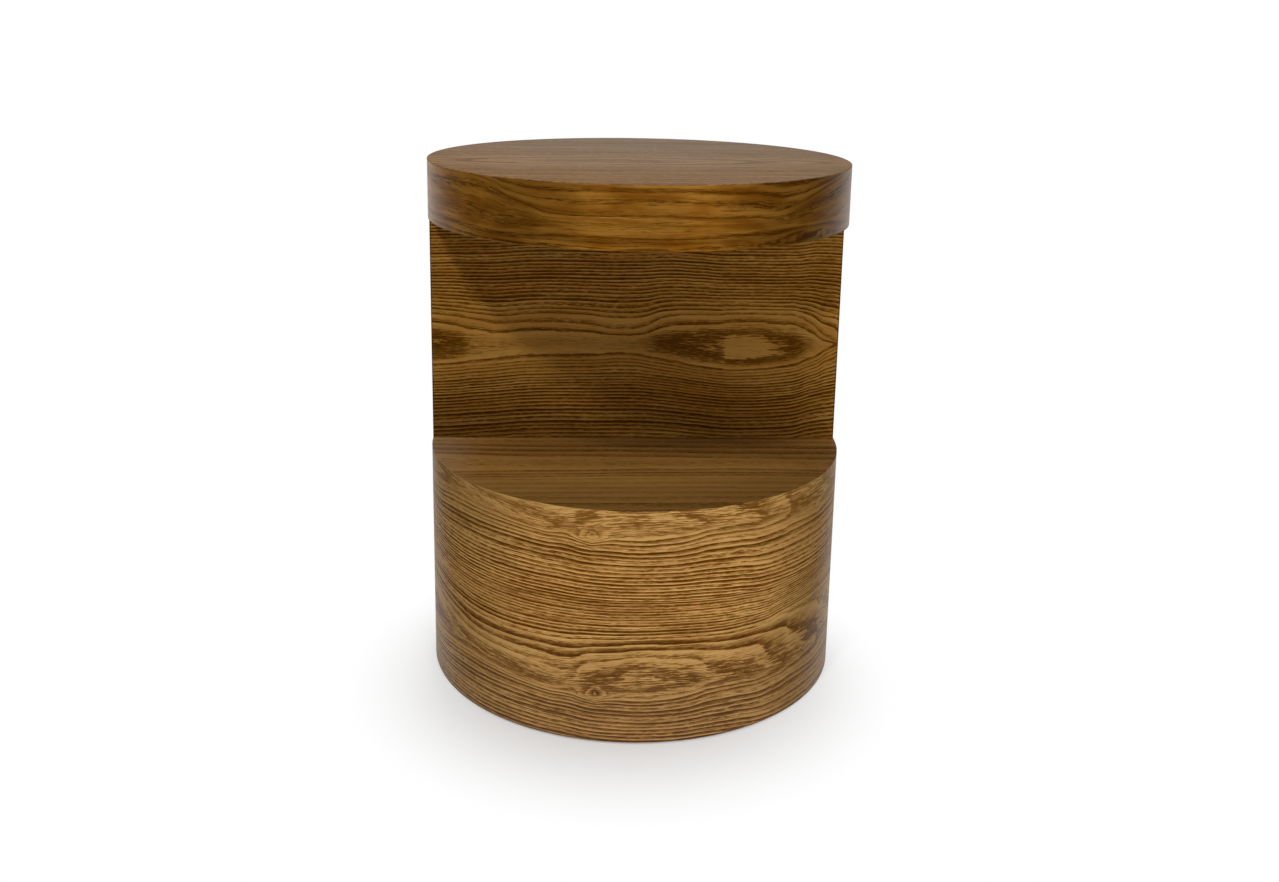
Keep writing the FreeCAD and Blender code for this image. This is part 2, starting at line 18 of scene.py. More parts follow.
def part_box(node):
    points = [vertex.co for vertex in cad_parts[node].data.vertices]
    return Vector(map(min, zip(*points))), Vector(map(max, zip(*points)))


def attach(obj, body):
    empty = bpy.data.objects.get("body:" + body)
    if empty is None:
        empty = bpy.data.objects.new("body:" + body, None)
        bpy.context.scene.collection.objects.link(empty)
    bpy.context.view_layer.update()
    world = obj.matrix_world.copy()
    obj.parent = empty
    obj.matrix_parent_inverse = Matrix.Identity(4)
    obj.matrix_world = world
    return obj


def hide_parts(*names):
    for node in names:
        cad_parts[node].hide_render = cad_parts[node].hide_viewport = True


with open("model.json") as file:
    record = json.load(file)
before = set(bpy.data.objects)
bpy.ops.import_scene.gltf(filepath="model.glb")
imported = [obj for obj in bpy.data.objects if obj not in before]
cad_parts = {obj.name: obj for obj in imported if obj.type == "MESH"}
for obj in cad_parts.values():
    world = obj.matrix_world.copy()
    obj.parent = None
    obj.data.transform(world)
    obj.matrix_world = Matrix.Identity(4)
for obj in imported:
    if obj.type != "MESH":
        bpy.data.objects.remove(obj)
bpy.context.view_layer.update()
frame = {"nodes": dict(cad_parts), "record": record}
scene = bpy.context.scene
scene.view_settings.view_transform = "Standard"
MM = 0.001
print("loaded", len(frame["nodes"]), "solid nodes")

# %% [markdown]
# ## Sizes
#
# Every size comes from the boxes of the solid nodes, so a sheet always lies where its solid lies. The
# table stands on the Z axis, and the open niche faces -Y.

# %% Read the sizes of the sheets
face_low, face_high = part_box("top_face_veneer")
rim_low, rim_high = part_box("top_rim_veneer")
under_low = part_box("top_under_veneer")[0]
panel_low, panel_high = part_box("column_face_veneer")
back_low, back_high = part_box("column_back_veneer")
shelf_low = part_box("base_shelf_veneer")[0]
wrap_low, wrap_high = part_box("base_wrap_veneer")

RADIUS = wrap_high.x
SHEET = face_high.z - face_low.z
print(f"radius {RADIUS / MM:.1f} mm, veneer {SHEET / MM:.2f} mm, height {face_high.z / MM:.1f} mm")

# %% [markdown]
# ## Node trees as Python expressions
#
# A node tree is easier to read as arithmetic. A Wire holds one output socket. Its operators add Math nodes,
# and its node method adds any other node: settings first, then the values or links of the sockets. A Wire
# without a socket starts a tree. The same class serves the shader trees and the Geometry Nodes trees.


# %% The Wire class
class Wire:
    """One output socket of a node tree, ready for plain arithmetic."""

    def __init__(self, tree, socket=None):
        self.tree = tree
        self.socket = socket

    def node(self, kind, settings=None, inputs=(), output=0):
        """Adds a node of this kind and returns one of its outputs, if it has any."""
        made = self.tree.nodes.new(kind)
        for name, value in (settings or {}).items():
            if name == "points":
                set_curve(made.mapping, value)
            else:
                setattr(made, name, value)
        connect(made, inputs if isinstance(inputs, dict) else dict(enumerate(inputs)))
        return Wire(self.tree, made.outputs[output]) if made.outputs else None

    def beside(self, name):
        """Another output of the same node."""
        return Wire(self.tree, self.socket.node.outputs[name])

    def math(self, operation, *values):
        return self.node("ShaderNodeMath", {"operation": operation}, values)

    def __add__(self, other):
        return self.math("ADD", self, other)

    def __radd__(self, other):
        return self.math("ADD", other, self)

    def __sub__(self, other):
        return self.math("SUBTRACT", self, other)

    def __rsub__(self, other):
        return self.math("SUBTRACT", other, self)

    def __mul__(self, other):
        return self.math("MULTIPLY", self, other)

    def __rmul__(self, other):
        return self.math("MULTIPLY", other, self)

    def __truediv__(self, other):
        return self.math("DIVIDE", self, other)

    def __rtruediv__(self, other):
        return self.math("DIVIDE", other, self)

    def __pow__(self, other):
        return self.math("POWER", self, other)

    def __rpow__(self, other):
        return self.math("POWER", other, self)


def connect(node, sockets):
    """Links wires to a node's sockets, by name or number, and sets plain values."""
    for key, value in sockets.items():
        if isinstance(value, Wire):
            value.tree.links.new(value.socket, node.inputs[key])
        else:
            node.inputs[key].default_value = value


def set_curve(mapping, points):
    """Puts a Float Curve through these points, which run from 0 to 1 both ways."""
    curve = mapping.curves[0]
    while len(curve.points) < len(points):
        curve.points.new(0.5, 0.5)
    for place, (across, up) in zip(curve.points, points):
        place.location = (across, up)
        place.handle_type = "AUTO_CLAMPED"
    mapping.use_clip = False
    mapping.update()


print("wires ready")

# %% [markdown]
# ## Helpers for patterns
#
# Wood needs a handful of tools: a soft step, a curve through a few chosen points, a pointed hill, and noise
# that is stretched along the grain, because everything in wood is longer along the trunk than across it.


# %% Pattern helpers
def step(value, low, high, bottom=0.0, top=1.0):
    """Goes smoothly from bottom to top while value goes from low to high."""
    ends = {0: value, 1: low, 2: high, 3: bottom, 4: top}
    return value.node("ShaderNodeMapRange", {"interpolation_type": "SMOOTHSTEP"}, ends)


def follow(place, points):
    """A smooth curve through a few (place, value) points."""
    places = [point[0] for point in points]
    values = [point[1] for point in points]
    start, length = min(places), max(places) - min(places)
    base, rise = min(values), max(values) - min(values)
    fitted = [((across - start) / length, (up - base) / rise) for across, up in points]
    curve = place.node("ShaderNodeFloatCurve", {"points": fitted}, {"Value": (place - start) / length})
    return curve * rise + base


def bump_at(u, v, centre, reach):
    """A pointed hill of height 1 at centre, dying away over reach, both as (along, across) in mm."""
    along = (u - centre[0]) / reach[0]
    across = (v - centre[1]) / reach[1]
    away = u.math("ABSOLUTE", along) + u.math("ABSOLUTE", across)
    return u.math("EXPONENT", 0 - away * away)


def noise(u, v, along, across, seed, detail=2.0):
    """Noise around 0 whose patches are about this long and wide, in mm."""
    place = u.node("ShaderNodeCombineXYZ", None, (u / along, v / across, seed))
    value = u.node("ShaderNodeTexNoise", None, {"Vector": place, "Scale": 1.0, "Detail": detail})
    return value - 0.5


def blend(factor, first, second):
    """The colour between first and second."""
    settings = {"data_type": "RGBA"}
    return factor.node("ShaderNodeMix", settings, {0: factor, 6: first, 7: second}, output=2)


def new_material(name):
    """A new material, its Principled shader, and the place on the piece in mm as three wires."""
    material = bpy.data.materials.new(name)
    material.use_nodes = True
    tree = material.node_tree
    shader = tree.nodes["Principled BSDF"]
    place = Wire(tree).node("ShaderNodeTexCoord", output="Object")
    split = place.node("ShaderNodeSeparateXYZ", None, (place,))
    return material, shader, [split.beside(axis) / MM for axis in "XYZ"]


print("pattern helpers ready")

# %% [markdown]
# ## Oak veneer
#
# A sheet cut flat through a trunk crosses the year rings at a slant. Along its heart the knife slips in and
# out of one ring after another, which draws pointed arches and islands; away from the heart it crosses ring
# after ring and draws close straight lines. So the ring count is one curve along the heart plus one across
# the sheet. A whole number is the start of a ring, where oak has a row of open pores that hold the dark
# stain. Stretched noise feathers each row and breaks it up. The pairs below are the sizes of its patches
# along and across the grain, in mm.

# %% Sizes in the grain
SLOW_WAVE = (150, 60)
QUICK_WAVE = (40, 12)
LONG_RAGS = (26, 1.1)
SHORT_RAGS = (10, 0.6)
DRIFT = (60, 7)
WANDER = (120, 2.6)
HAIRS = (45, 0.5)
PORES = (9, 0.6)
DASHES = (6, 1.4)
BLOTCHES = (70, 14)
DULL_SPOTS = (60, 60)
PORE_DEPTH = 0.12 * MM
print("pores", PORES[0], "mm long and", PORES[1], "mm wide")

# %% [markdown]
# The first step counts the rings. A knot bends the count around it. Near the heart the grain is open and
# its rows are ragged, and beyond it the lines wander a little.


# %% Count the rings
def count_rings(u, v, later, open_grain, heart, rings, knots, reach, feather, seed):
    """The number of the ring at each place. It grows by 1 from one ring to the next."""
    falloff = 1 / (1 + (v / reach) ** 4)
    count = (follow(u, heart) + later) * falloff + follow(v, rings)
    for centre, size, lift in knots:
        count = count + bump_at(u, v, centre, size) * lift
    ragged = noise(u, v, *LONG_RAGS, seed + 2) + noise(u, v, *SHORT_RAGS, seed + 9)
    count = count + ragged * (0.12 + open_grain * feather)
    wander = noise(u, v, *WANDER, seed + 10) * (0.5 - open_grain * 0.5)
    return count + noise(u, v, *DRIFT, seed + 3) * 0.3 + wander


print("ring count ready")

# %% [markdown]
# The second step turns the count into stain. Each ring takes it up in its own strength, and hairs, pores
# and dashes break its row up.


# %% Stain the pores
def stain_rows(
    u, v, count, open_grain, wide, seed, contrast=0.8, onset=0.12, soft=0.0, taper=1.1, dashes=1,
    grit=0.2, speckle=0.0,
):
    """How dark the stain is at each place, and the streaks of open pores."""
    ring = count.math("FRACT", count)
    whole = count.math("FLOOR", count)
    own = whole.node("ShaderNodeTexWhiteNoise", {"noise_dimensions": "1D"}, {"W": whole + seed})
    thinning = 1.1 + wide * taper - open_grain * taper * 0.8
    row = (1 - ring) ** thinning * step(ring, 0.0, onset + open_grain * soft)
    hair = noise(u, v, *HAIRS, seed + 4)
    pores = noise(u, v, *PORES, seed + 5)
    dashed = noise(u, v, *DASHES, seed + 11) * dashes
    solid = row * (0.4 + own * 0.9 + noise(u, v, *BLOTCHES, seed + 6) * 1.2 + dashed)
    speckled = row * (0.6 - grit * 0.15) + pores * (1 + grit * 0.6) + hair * (0.6 + grit * 0.2)
    streaks = step(speckled + open_grain * speckle, 0.1, 0.45)
    dark = solid * (1 - open_grain * 0.45) + streaks * (0.4 + open_grain * 0.3)
    return (dark + hair * (0.7 + open_grain * 0.3)) * contrast, streaks


print("stain ready")

# %% [markdown]
# The last step lays the stain on the ground colour and adds the lacquer. It is thin and satin, so it only
# shines where the eye skims along the face. Where hands and feet rub, it turns dull and greyish, and a leaf
# can say where that is. The same grey is also painted on as sheen, and as a reflection of the white floor.


# %% The oak shader
# The grey of rubbed, dull lacquer. It is also painted on as sheen and as a reflection of the white floor.
RUBBED_AND_SHEEN = (0.46, 0.39, 0.32, 1.0)
SATIN = 0.5
COAT_INDEX = 1.3
COAT_ROUGHNESS = 0.35
FULL_SHEEN_AT = 0.85


def oak(
    name, leaf, heart, rings, tones, seed, reach=45, wave=3, open_to=20, feather=0.5,
    patches=(120, 16), knots=(), depth=None, shade=None, edges=None, wear_and_sheen=None, lacquer=1.06, sheen=0.0,
    sheen_from=0.5, **stain_values,
):
    """Oak veneer.

    leaf turns the place into (along, across) in mm, heart and rings count the rings along and across it,
    and open_to is how far the open figure reaches from the heart. depth, shade, edges and wear_and_sheen
    say where the stain is strong, where the tone changes, both the wood's own tone and painted light and
    shade, where an edge is darkened with the stain colour, and where the lacquer is rubbed dull or painted
    grey as sheen and reflection.
    """
    material, shader, (x, y, z) = new_material(name)
    u, v, later = leaf(x, y, z)
    v = v + noise(u, v, *SLOW_WAVE, seed) * 2 * wave + noise(u, v, *QUICK_WAVE, seed + 1) * wave * 0.6
    off_heart = v.math("ABSOLUTE", v)
    open_grain = step(off_heart, 0.6 * open_to, 1.6 * open_to, 1.0, 0.0)
    wide = step(off_heart, 1.3 * open_to, 2.3 * open_to, 1.0, 0.0)
    count = count_rings(u, v, later, open_grain, heart, rings, knots, reach, feather, seed)
    dark, streaks = stain_rows(u, v, count, open_grain, wide, seed, **stain_values)
    if depth is not None:
        dark = dark * depth(u, v, z)

    pale, tan, stain = tones
    ground = blend(step(noise(u, v, *patches, seed + 7), -0.2, 0.2), pale, tan)
    half_stained = tuple(math.sqrt(a * b) for a, b in zip(tan, stain))
    colour = blend(dark * 2, ground, half_stained)
    colour = blend(dark * 2 - 1, colour, stain)
    # The shade curve scales the tone: the wood's own tone, and painted light and shade.
    if shade is not None:
        toned = {0: colour, "Scale": shade(u, v, z)}
        colour = colour.node("ShaderNodeVectorMath", {"operation": "SCALE"}, toned)
    if edges is not None:
        colour = blend(edges(x, y, z), colour, stain)
    # Rubbed places, painted sheen and painted reflection blend towards that grey.
    if wear_and_sheen is not None:
        colour = blend(wear_and_sheen(u, z), colour, RUBBED_AND_SHEEN)

    gloss = SATIN + dark * 0.12 + noise(u, v, *DULL_SPOTS, seed + 8) * 0.1
    relief = 0 - streaks
    hollow = {"Strength": 0.2, "Distance": PORE_DEPTH, "Height": relief}
    normal = relief.node("ShaderNodeBump", None, hollow)
    connect(shader, {"Base Color": colour, "Roughness": gloss, "Normal": normal, "IOR": lacquer})
    if sheen > 0:
        facing = u.node("ShaderNodeLayerWeight", None, {"Blend": 0.5}, output=1)
        coat = step(facing, sheen_from, FULL_SHEEN_AT, 0.0, sheen)
        connect(shader, {"Coat Weight": coat, "Coat IOR": COAT_INDEX, "Coat Roughness": COAT_ROUGHNESS})
    return material


print("oak shader ready")

# %% [markdown]
# ## The leaves of veneer
#
# Each face has a leaf of its own. On a flat face the grain runs along X. On a round face it runs round the
# drum, so the place along the grain is the angle times the radius. The banks of the heart wander, so two
# curves say how far out they lie, and the grain beyond is pushed aside less and less.

# %% The way round and the banks
ROUND = RADIUS / MM
BANK = 18.0


def turned(x, y):
    """The way round the drum from the middle of the front, in mm."""
    return x.math("ARCTAN2", x, 0 - y) * ROUND


def between_banks(u, v, upper, lower, reach):
    """Stretches the heart so that its banks follow two curves, and eases the grain beyond them."""
    below = follow(u, lower)
    bank = below + (follow(u, upper) - below) * v.math("GREATER_THAN", v, 0.0)
    away = v.math("ABSOLUTE", v)
    beyond = away - bank
    beyond = beyond.math("MAXIMUM", beyond, 0.0) / reach
    inside = away / bank
    share = inside.math("MINIMUM", inside, 1 / (1 + beyond * beyond))
    return v.math("SIGN", v) * (away - (bank - BANK) * share)


print(f"the way round is {2 * math.pi * ROUND:.0f} mm")

# %% [markdown]
# A leaf turns a place on the table into a place on its sheet: how far along the grain, how far across it
# from the heart, and how much later in the ring it was cut. The drum carries two leaves, the upper one cut
# a little later from the same log, so the same knot and arches come twice.

# %% Where each leaf lies
LEAF_PITCH = 149.0
LEAF_JOINT = 137.0
LEAF_SLIP = 4.0
LATER_CUT = 0.62
DIP_PLACE = (-82, -4)
DIP_REACH = (70, 20)
DIP_DEPTH = 8.0
SHELF_HEART_FORWARD = 77.0
TOP_HEART_FORWARD = 30.0
TOP_SLANT = 0.03


def panel_leaf(x, y, z):
    return x, between_banks(x, z - follow(x, panel_middle), panel_upper, panel_lower, reach=25), 0.0


def drum_leaf(x, y, z):
    upper = z.math("GREATER_THAN", z, LEAF_JOINT)
    along = turned(x, y) + upper * LEAF_SLIP
    across = z - upper * LEAF_PITCH - follow(along, drum_middle)
    across = across + bump_at(along, across, DIP_PLACE, DIP_REACH) * DIP_DEPTH
    return along, between_banks(along, across, drum_upper, drum_lower, reach=22), upper * LATER_CUT


def rim_leaf(x, y, z):
    along = turned(x, y)
    return along, between_banks(along, z - follow(along, rim_middle), rim_upper, rim_lower, reach=8), 0.0


def back_leaf(x, y, z):
    along = x.math("ARCTAN2", x, y) * ROUND
    return along, z - follow(along, back_middle), 0.0


def shelf_leaf(x, y, z):
    return x, between_banks(x, y + SHELF_HEART_FORWARD, shelf_upper, shelf_lower, reach=30), 0.0


def top_leaf(x, y, z):
    return x, y - x * TOP_SLANT + TOP_HEART_FORWARD, 0.0


print("leaves placed")

# %% [markdown]
# The curves are lists of points. A middle curve says how high the heart lies, the upper and lower ones how
# far its banks are from that, the heart curve how the ring count changes along it, and the rings curve how
# fast the count grows across it. The panel has one long heart with an eye in it.

# %% The curves of the panel
panel_middle = [
    (-200, 312), (-150, 314), (-60, 317.5), (0, 317.5), (60, 315), (110, 312.5), (150, 313), (192, 318),
    (200, 318),
]
panel_upper = [
    (-200, 26.5), (-150, 20), (-125, 17), (-100, 18), (-50, 15.5), (-10, 11), (25, 18.8), (60, 23),
    (100, 25.3), (150, 25.5), (160, 22.8), (175, 15), (187, 6), (200, 3),
]
panel_lower = [
    (-200, 16), (-150, 15.5), (-100, 14.5), (-50, 14.5), (-10, 12.5), (10, 14.3), (40, 17.5), (80, 20),
    (120, 19), (150, 17), (175, 15), (187, 9), (200, 4),
]
panel_heart = [
    (-200, 0.14), (-186, 0.16), (-172, 0.26), (-162, 0.48), (-130, 0.66), (-60, 0.68), (0, 0.6),
    (20, 0.36), (45, 0.18), (70, 0.1), (86, 0), (90, -0.1), (110, -0.14), (124, -0.1), (132, 0),
    (150, 0.12), (162, 0.27), (170, 0.5), (180, 0.75), (192, 0.99), (200, 1.4),
]
panel_rings = [
    (-96, 24), (-55, 13.2), (-28.4, 4), (-24.9, 3), (-22.1, 2), (-18, 1), (-15, 0.6), (-12, 0.3),
    (-6, 0.06), (0, 0), (6, 0.06), (12, 0.3), (15, 0.6), (18, 1), (27.7, 2), (33.4, 3), (37.2, 4),
    (42.2, 5), (46, 6), (60, 10), (129, 32),
]
print("panel:", len(panel_heart), "points along its heart")

# %% [markdown]
# The drum's heart is livelier: it swells to the right, has an island in its middle, and passes a knot.

# %% The curves of the drum
drum_middle = [
    (-628, 66), (-290, 66), (-130, 62), (0, 61), (90, 57), (160, 52), (290, 52), (628, 66),
]
drum_upper = [
    (-628, 18), (-290, 20), (-200, 17), (-150, 13.5), (-100, 15.5), (-40, 21), (10, 24.5), (60, 26),
    (120, 34), (180, 41), (220, 41), (290, 28), (628, 18),
]
drum_lower = [
    (-628, 18), (-290, 21), (-240, 20), (-130, 13), (-85, 13), (-42, 18), (0, 18), (60, 13), (100, 12),
    (160, 13), (290, 18), (628, 18),
]
drum_heart = [
    (-628, -3), (-420, -2), (-290, -1.2), (-240, -0.7), (-215, -0.4), (-190, -0.12), (-174, 0),
    (-150, 0.06), (-120, 0.12), (-95, 0.2), (-80, 0.38), (-70, 0.6), (-62, 0.72), (-56, 0.45), (-42, 0.2),
    (-22, 0), (-3, -0.28), (17, 0), (34, 0.15), (50, 0.35), (60, 0.7), (78, 0.98), (85, 1.05),
    (100, 1.15), (115, 1.4), (130, 1.85), (140, 2), (146, 2.15), (152, 2.5), (190, 2.85), (204, 3),
    (211, 3.3), (240, 3.6), (290, 3.9), (460, 3), (628, 1.5),
]
drum_rings = [
    (-80, 20.9), (-62, 14.6), (-27, 4.7), (-22.5, 3.4), (-18, 2.2), (-14, 1.35), (-11, 0.85), (-8, 0.5),
    (-4.5, 0.27), (0, 0), (4.5, 0.27), (10, 0.45), (14, 0.75), (18, 1.25), (27, 2.5), (37, 4),
    (44, 5.8), (65, 13), (90, 22.2),
]
print("drum:", len(drum_heart), "points along its heart")

# %% [markdown]
# The rim's heart is a wide smile, the shelf and the top have quiet straight grain, and the back repeats the
# manner of the panel. The rim also has a curve of tone along it: partly its own tone, and partly a painted
# sheen that lightens both ends.

# %% The curves of the other leaves
rim_middle = [
    (-628, 468), (-290, 468), (-185, 467), (-100, 465), (0, 466), (90, 465), (130, 462), (200, 464),
    (290, 468), (628, 468),
]
rim_upper = [
    (-628, 24), (-290, 30), (-185, 30), (-130, 21), (-100, 14), (-75, 9.5), (0, 10), (60, 9), (100, 10),
    (150, 17), (200, 26), (290, 30), (628, 24),
]
rim_lower = [
    (-628, 16), (-290, 16), (-185, 15), (-100, 13), (-60, 11), (0, 11.5), (60, 11), (120, 8), (150, 6),
    (200, 10), (290, 16), (628, 16),
]
rim_heart = [
    (-628, 1.5), (-420, 0.6), (-290, 0.9), (-200, 0.75), (-120, 0.6), (-60, 0.75), (0, 0.7), (45, 0.8),
    (90, 0.9), (112, 0.99), (118, 1.12), (145, 1.12), (152, 0.98), (200, 0.8), (290, 0.7), (460, 1.4),
    (628, 1.5),
]
rim_rings = [
    (-34, 5), (-27, 3), (-22.5, 2), (-18, 1), (-9, 0.25), (0, 0), (9, 0.25), (18, 1), (24, 2),
    (30, 3), (37, 4), (50, 6),
]
# Partly the rim's own tone, and lighter towards both ends as a painted sheen.
rim_shade = [
    (-628, 1), (-290, 1.4), (-240, 1.3), (-190, 1.02), (-147, 0.9), (-117, 0.72), (-90, 0.84),
    (-63, 0.9), (-39, 1.15), (10, 1.1), (39, 1.3), (60, 1.18), (79, 1), (100, 0.9), (123, 0.82),
    (148, 0.83), (176, 0.77), (205, 0.9), (240, 1.15), (290, 1.3), (628, 1),
]
shelf_upper = [(-200, 26), (-160, 24), (-100, 21), (0, 18), (100, 14.5), (180, 10), (200, 9)]
shelf_lower = [(-200, 24), (-160, 22), (-60, 19), (60, 16), (180, 20), (200, 21)]
shelf_heart = [(-200, 0.3), (-100, 0.45), (0, 0.4), (100, 0.5), (200, 0.35)]
shelf_rings = [
    (-125, 10.5), (-113, 9.6), (-100, 8.9), (-80, 7.4), (-60, 5.6), (-45, 4.2), (-35, 3), (-29, 2),
    (-24, 1.4), (-18, 0.7), (-8, 0.1), (0, 0), (8, 0.1), (18, 0.7), (26, 1.3), (38, 2.2), (50, 3.1),
    (64, 4.2), (85, 6),
]
top_heart = [(-200, 2), (-120, 0.6), (-30, 0.1), (50, 0.5), (120, 1.4), (200, 2.6)]
top_rings = [(-180, 22), (-60, 5), (-25, 1), (0, 0), (25, 0.9), (60, 4.5), (235, 30)]
back_middle = [(-320, 322), (-150, 314), (0, 320), (140, 312), (320, 318)]
back_heart = [
    (-320, 1.6), (-200, 0.2), (-120, 0.5), (-40, -0.3), (30, 0.4), (110, 1.1), (210, 1.9), (320, 3),
]
print("curves chosen")

# %% [markdown]
# ## The finished veneers
#
# One stain was wiped over the whole table, but each leaf drinks it differently: the drum came out palest,
# the panel and the rim deepest. A shade curve darkens or lightens a whole stretch of a leaf. It holds the
# leaf's own tone and also painted light and shade: painted shade where the niche, the top and the turn of
# the drum keep light away, and painted light where light comes in from the open sides. A depth curve makes
# its pores take more or less stain. Stain gathers at the panel's sides, and the drum is darker along its
# foot.


# %% Stained and darkened edges
FULL_EDGE_AT = 0.4
PANEL_STAIN = 1.6
FOOT_DARKENING = 2.2


def panel_edges(x, y, z):
    side = x.math("ABSOLUTE", x)
    return step(side, ROUND - PANEL_STAIN, ROUND - FULL_EDGE_AT, 0.0, 0.75)


def foot_edge(x, y, z):
    foot = wrap_low.z / MM
    # The drum is darker along the bottom two millimetres of its sheet.
    return step(z, foot + FULL_EDGE_AT, foot + FOOT_DARKENING, 0.7, 0.0)


print("edges stained", PANEL_STAIN, "and", FOOT_DARKENING, "mm wide")

# %% [markdown]
# The panel is darker towards its foot and in its middle, painted shade where the niche keeps light away,
# darker at the lower left, a painted shadow of the top, and lighter towards its open right side, partly the
# wood and partly painted light. The shelf is darker towards its front and its right end, with painted shade
# by the panel and painted light at its open sides.


# %% Tone, painted light and shade of the panel and the shelf
def panel_shade(u, v, z):
    # Darker towards the foot: painted shade where the floor of the niche keeps light away.
    down = follow(v, [
        (-96, 0.76), (-70, 0.83), (-48, 1.04), (-28, 1), (-15, 1.05), (20, 1.05), (60, 1.05), (129, 1.02),
    ])
    # Lighter towards the right, partly the wood and partly painted light from the open side.
    along = follow(u, [
        (-200, 0.98), (-150, 0.94), (-120, 0.94), (0, 0.98), (90, 1.1), (170, 1.16), (200, 1.32),
    ])
    # A painted shadow of the top at the lower left, and painted light at the right side.
    painted_light_and_shade = step(v, -60, -15, 0.22, 0.0) * step(u, -190, -60, 1.0, 0.0) - step(u, 60, 110, 0.0, 0.07)
    # Darker in the middle: painted shade where the niche is deepest.
    hollow = bump_at(u, v, (5, 0), (110, 26)) * 0.2
    return down * along * (1 - painted_light_and_shade) * (1 - hollow)


def panel_depth(u, v, z):
    return follow(v, [
        (-96, 1.25), (-62, 1.35), (-50, 1.3), (-30, 1.25), (-20, 1), (30, 1), (50, 1.3), (129, 1.35),
    ])


def shelf_shade(u, v, z):
    down = follow(v, [
        (-125, 0.62), (-95, 0.68), (-60, 0.82), (-30, 0.95), (0, 1.06), (20, 1), (50, 0.9), (85, 0.88),
    ])
    along = follow(u, [(-200, 1), (-60, 1), (60, 0.93), (130, 0.82), (200, 0.74)])
    # Near the panel: painted shade in the middle, where the top's shadow falls, and painted light at the
    # open sides.
    painted_light_and_shade = follow(u, [
        (-200, 1.55), (-130, 1.3), (-70, 1.05), (0, 0.68), (80, 0.82), (160, 1.15), (200, 1.4),
    ])
    return down * along * (1 + (painted_light_and_shade - 1) * step(v, 30, 66))


def shelf_depth(u, v, z):
    return follow(v, [
        (-125, 1), (-98, 0.8), (-80, 0.5), (-50, 0.45), (-33, 0.9), (-15, 1), (28, 1), (85, 0.8),
    ])


print("panel and shelf toned")

# %% [markdown]
# The drum is painted darker towards its sides, shade where it turns away from the light, and a little
# darker at its foot and upper left. The rim changes along its length, is painted lighter towards both ends
# as sheen, and has a painted highlight on its lower front edge. The top is painted paler towards its front
# and ends and darker behind, which evens out the lacquer's reflection that grows towards the back.


# %% Tone, painted light and shade of the drum, the rim and the top
def drum_shade(u, v, z):
    # Darker towards the sides: painted shade where the drum turns away from the light.
    along = follow(u, [
        (-628, 0.9), (-250, 0.83), (-150, 0.87), (-100, 0.97), (-40, 1), (40, 1), (95, 1.05),
        (150, 0.96), (250, 0.85), (628, 0.9),
    ])
    across = follow(v, [(-60, 1.2), (-20, 1.04), (0, 1), (20, 1), (40, 1.09), (90, 1.13)])
    patches = bump_at(u, z, (65, 115), (70, 70)) * 0.12 + bump_at(u, z, (-110, 85), (60, 70)) * 0.09
    # Painted shade at the foot and at the upper left.
    painted_light_and_shade = step(z, 20, 70, 0.06, 0.0) + step(z, 120, 190, 0.0, 0.16) * step(u, -190, -60, 1.0, 0.0)
    return along * across * (1 + patches - painted_light_and_shade)


def drum_depth(u, v, z):
    along = follow(u, [
        (-628, 0.8), (-290, 0.78), (-150, 0.8), (-60, 1), (70, 0.98), (120, 0.72), (170, 0.65),
        (290, 0.68), (628, 0.8),
    ])
    across = follow(v, [(-60, 1.35), (-25, 1.12), (-10, 0.95), (22, 0.95), (40, 1.2), (90, 1.25)])
    return along * across * step(z, 175, 200, 1.0, 0.78)


def rim_depth(u, v, z):
    return follow(v, [(-34, 0.9), (-15, 1), (12, 1), (20, 0.75), (46, 0.7)])


def rim_tone(u, v, z):
    near = step(u.math("ABSOLUTE", u), 70, 120, 1.0, 0.0)
    # Near the front the lower edge is painted lighter: a highlight where the worn lacquer of the eased edge
    # catches the light. A darker line runs just above it.
    lower_edge = step(z, 447, 450, 0.4, 0.0) - step(u.math("ABSOLUTE", z - 452), 0, 2.5, 0.25, 0.0)
    return follow(u, rim_shade) * (1 + lower_edge * near)


def top_shade(u, v, z):
    # Paler towards the ends and the front and darker behind: painted light and shade that even out the
    # lacquer's reflection, which grows towards the back.
    along = follow(u, [(-200, 1.14), (-100, 1.04), (0, 1), (100, 1.06), (200, 1.14)])
    return along * follow(v, [(-170, 1.14), (0, 1), (120, 0.85), (230, 0.78)])


print("drum, rim and top toned")

# %% [markdown]
# Shoes scuff the foot of the drum and hands dull the upper edge of the rim. The drum's foot is also painted
# greyer as a reflection of the white floor, and the top and the shelf are painted greyer towards one side
# as a sheen.


# %% Worn places and painted sheen
DRUM_SCUFFS = (26, 5)
RIM_RUBS = (30, 3)


def drum_scuffs_and_reflection(u, z):
    # Greyer up from the foot: a painted reflection of the white floor.
    painted_floor_reflection = step(z, 5, 110, 0.06, 0.0)
    scuffed = step(noise(u, z, *DRUM_SCUFFS, seed=71.0), 0.1, 0.22, 0.0, 0.35)
    return painted_floor_reflection + scuffed * step(z, 2, 18, 1.0, 0.0)


def rim_wear(u, z):
    upper_edge = rim_high.z / MM
    rubbed = step(noise(u, z, *RIM_RUBS, seed=73.0), -0.1, 0.25, 0.0, 0.2)
    return rubbed * step(z, upper_edge - 0.9, upper_edge - 0.2)


def shelf_painted_sheen(u, z):
    # Greyer towards the left end: a painted sheen.
    return step(u, -200, -140, 0.19, 0.0)


def top_painted_sheen(u, z):
    # Greyer towards the right: a painted sheen.
    return step(u, -40, 190, 0.03, 0.16)


print("worn places ready")

# %% [markdown]
# Each veneer is now one call. Its three tones are the pale end of a ring, the same wood in a browner patch,
# and the stain in the pores. The other values say how wavy, ragged and speckled the leaf is.


# %% Make the veneers
def tone(red, green, blue):
    return (red, green, blue, 1.0)


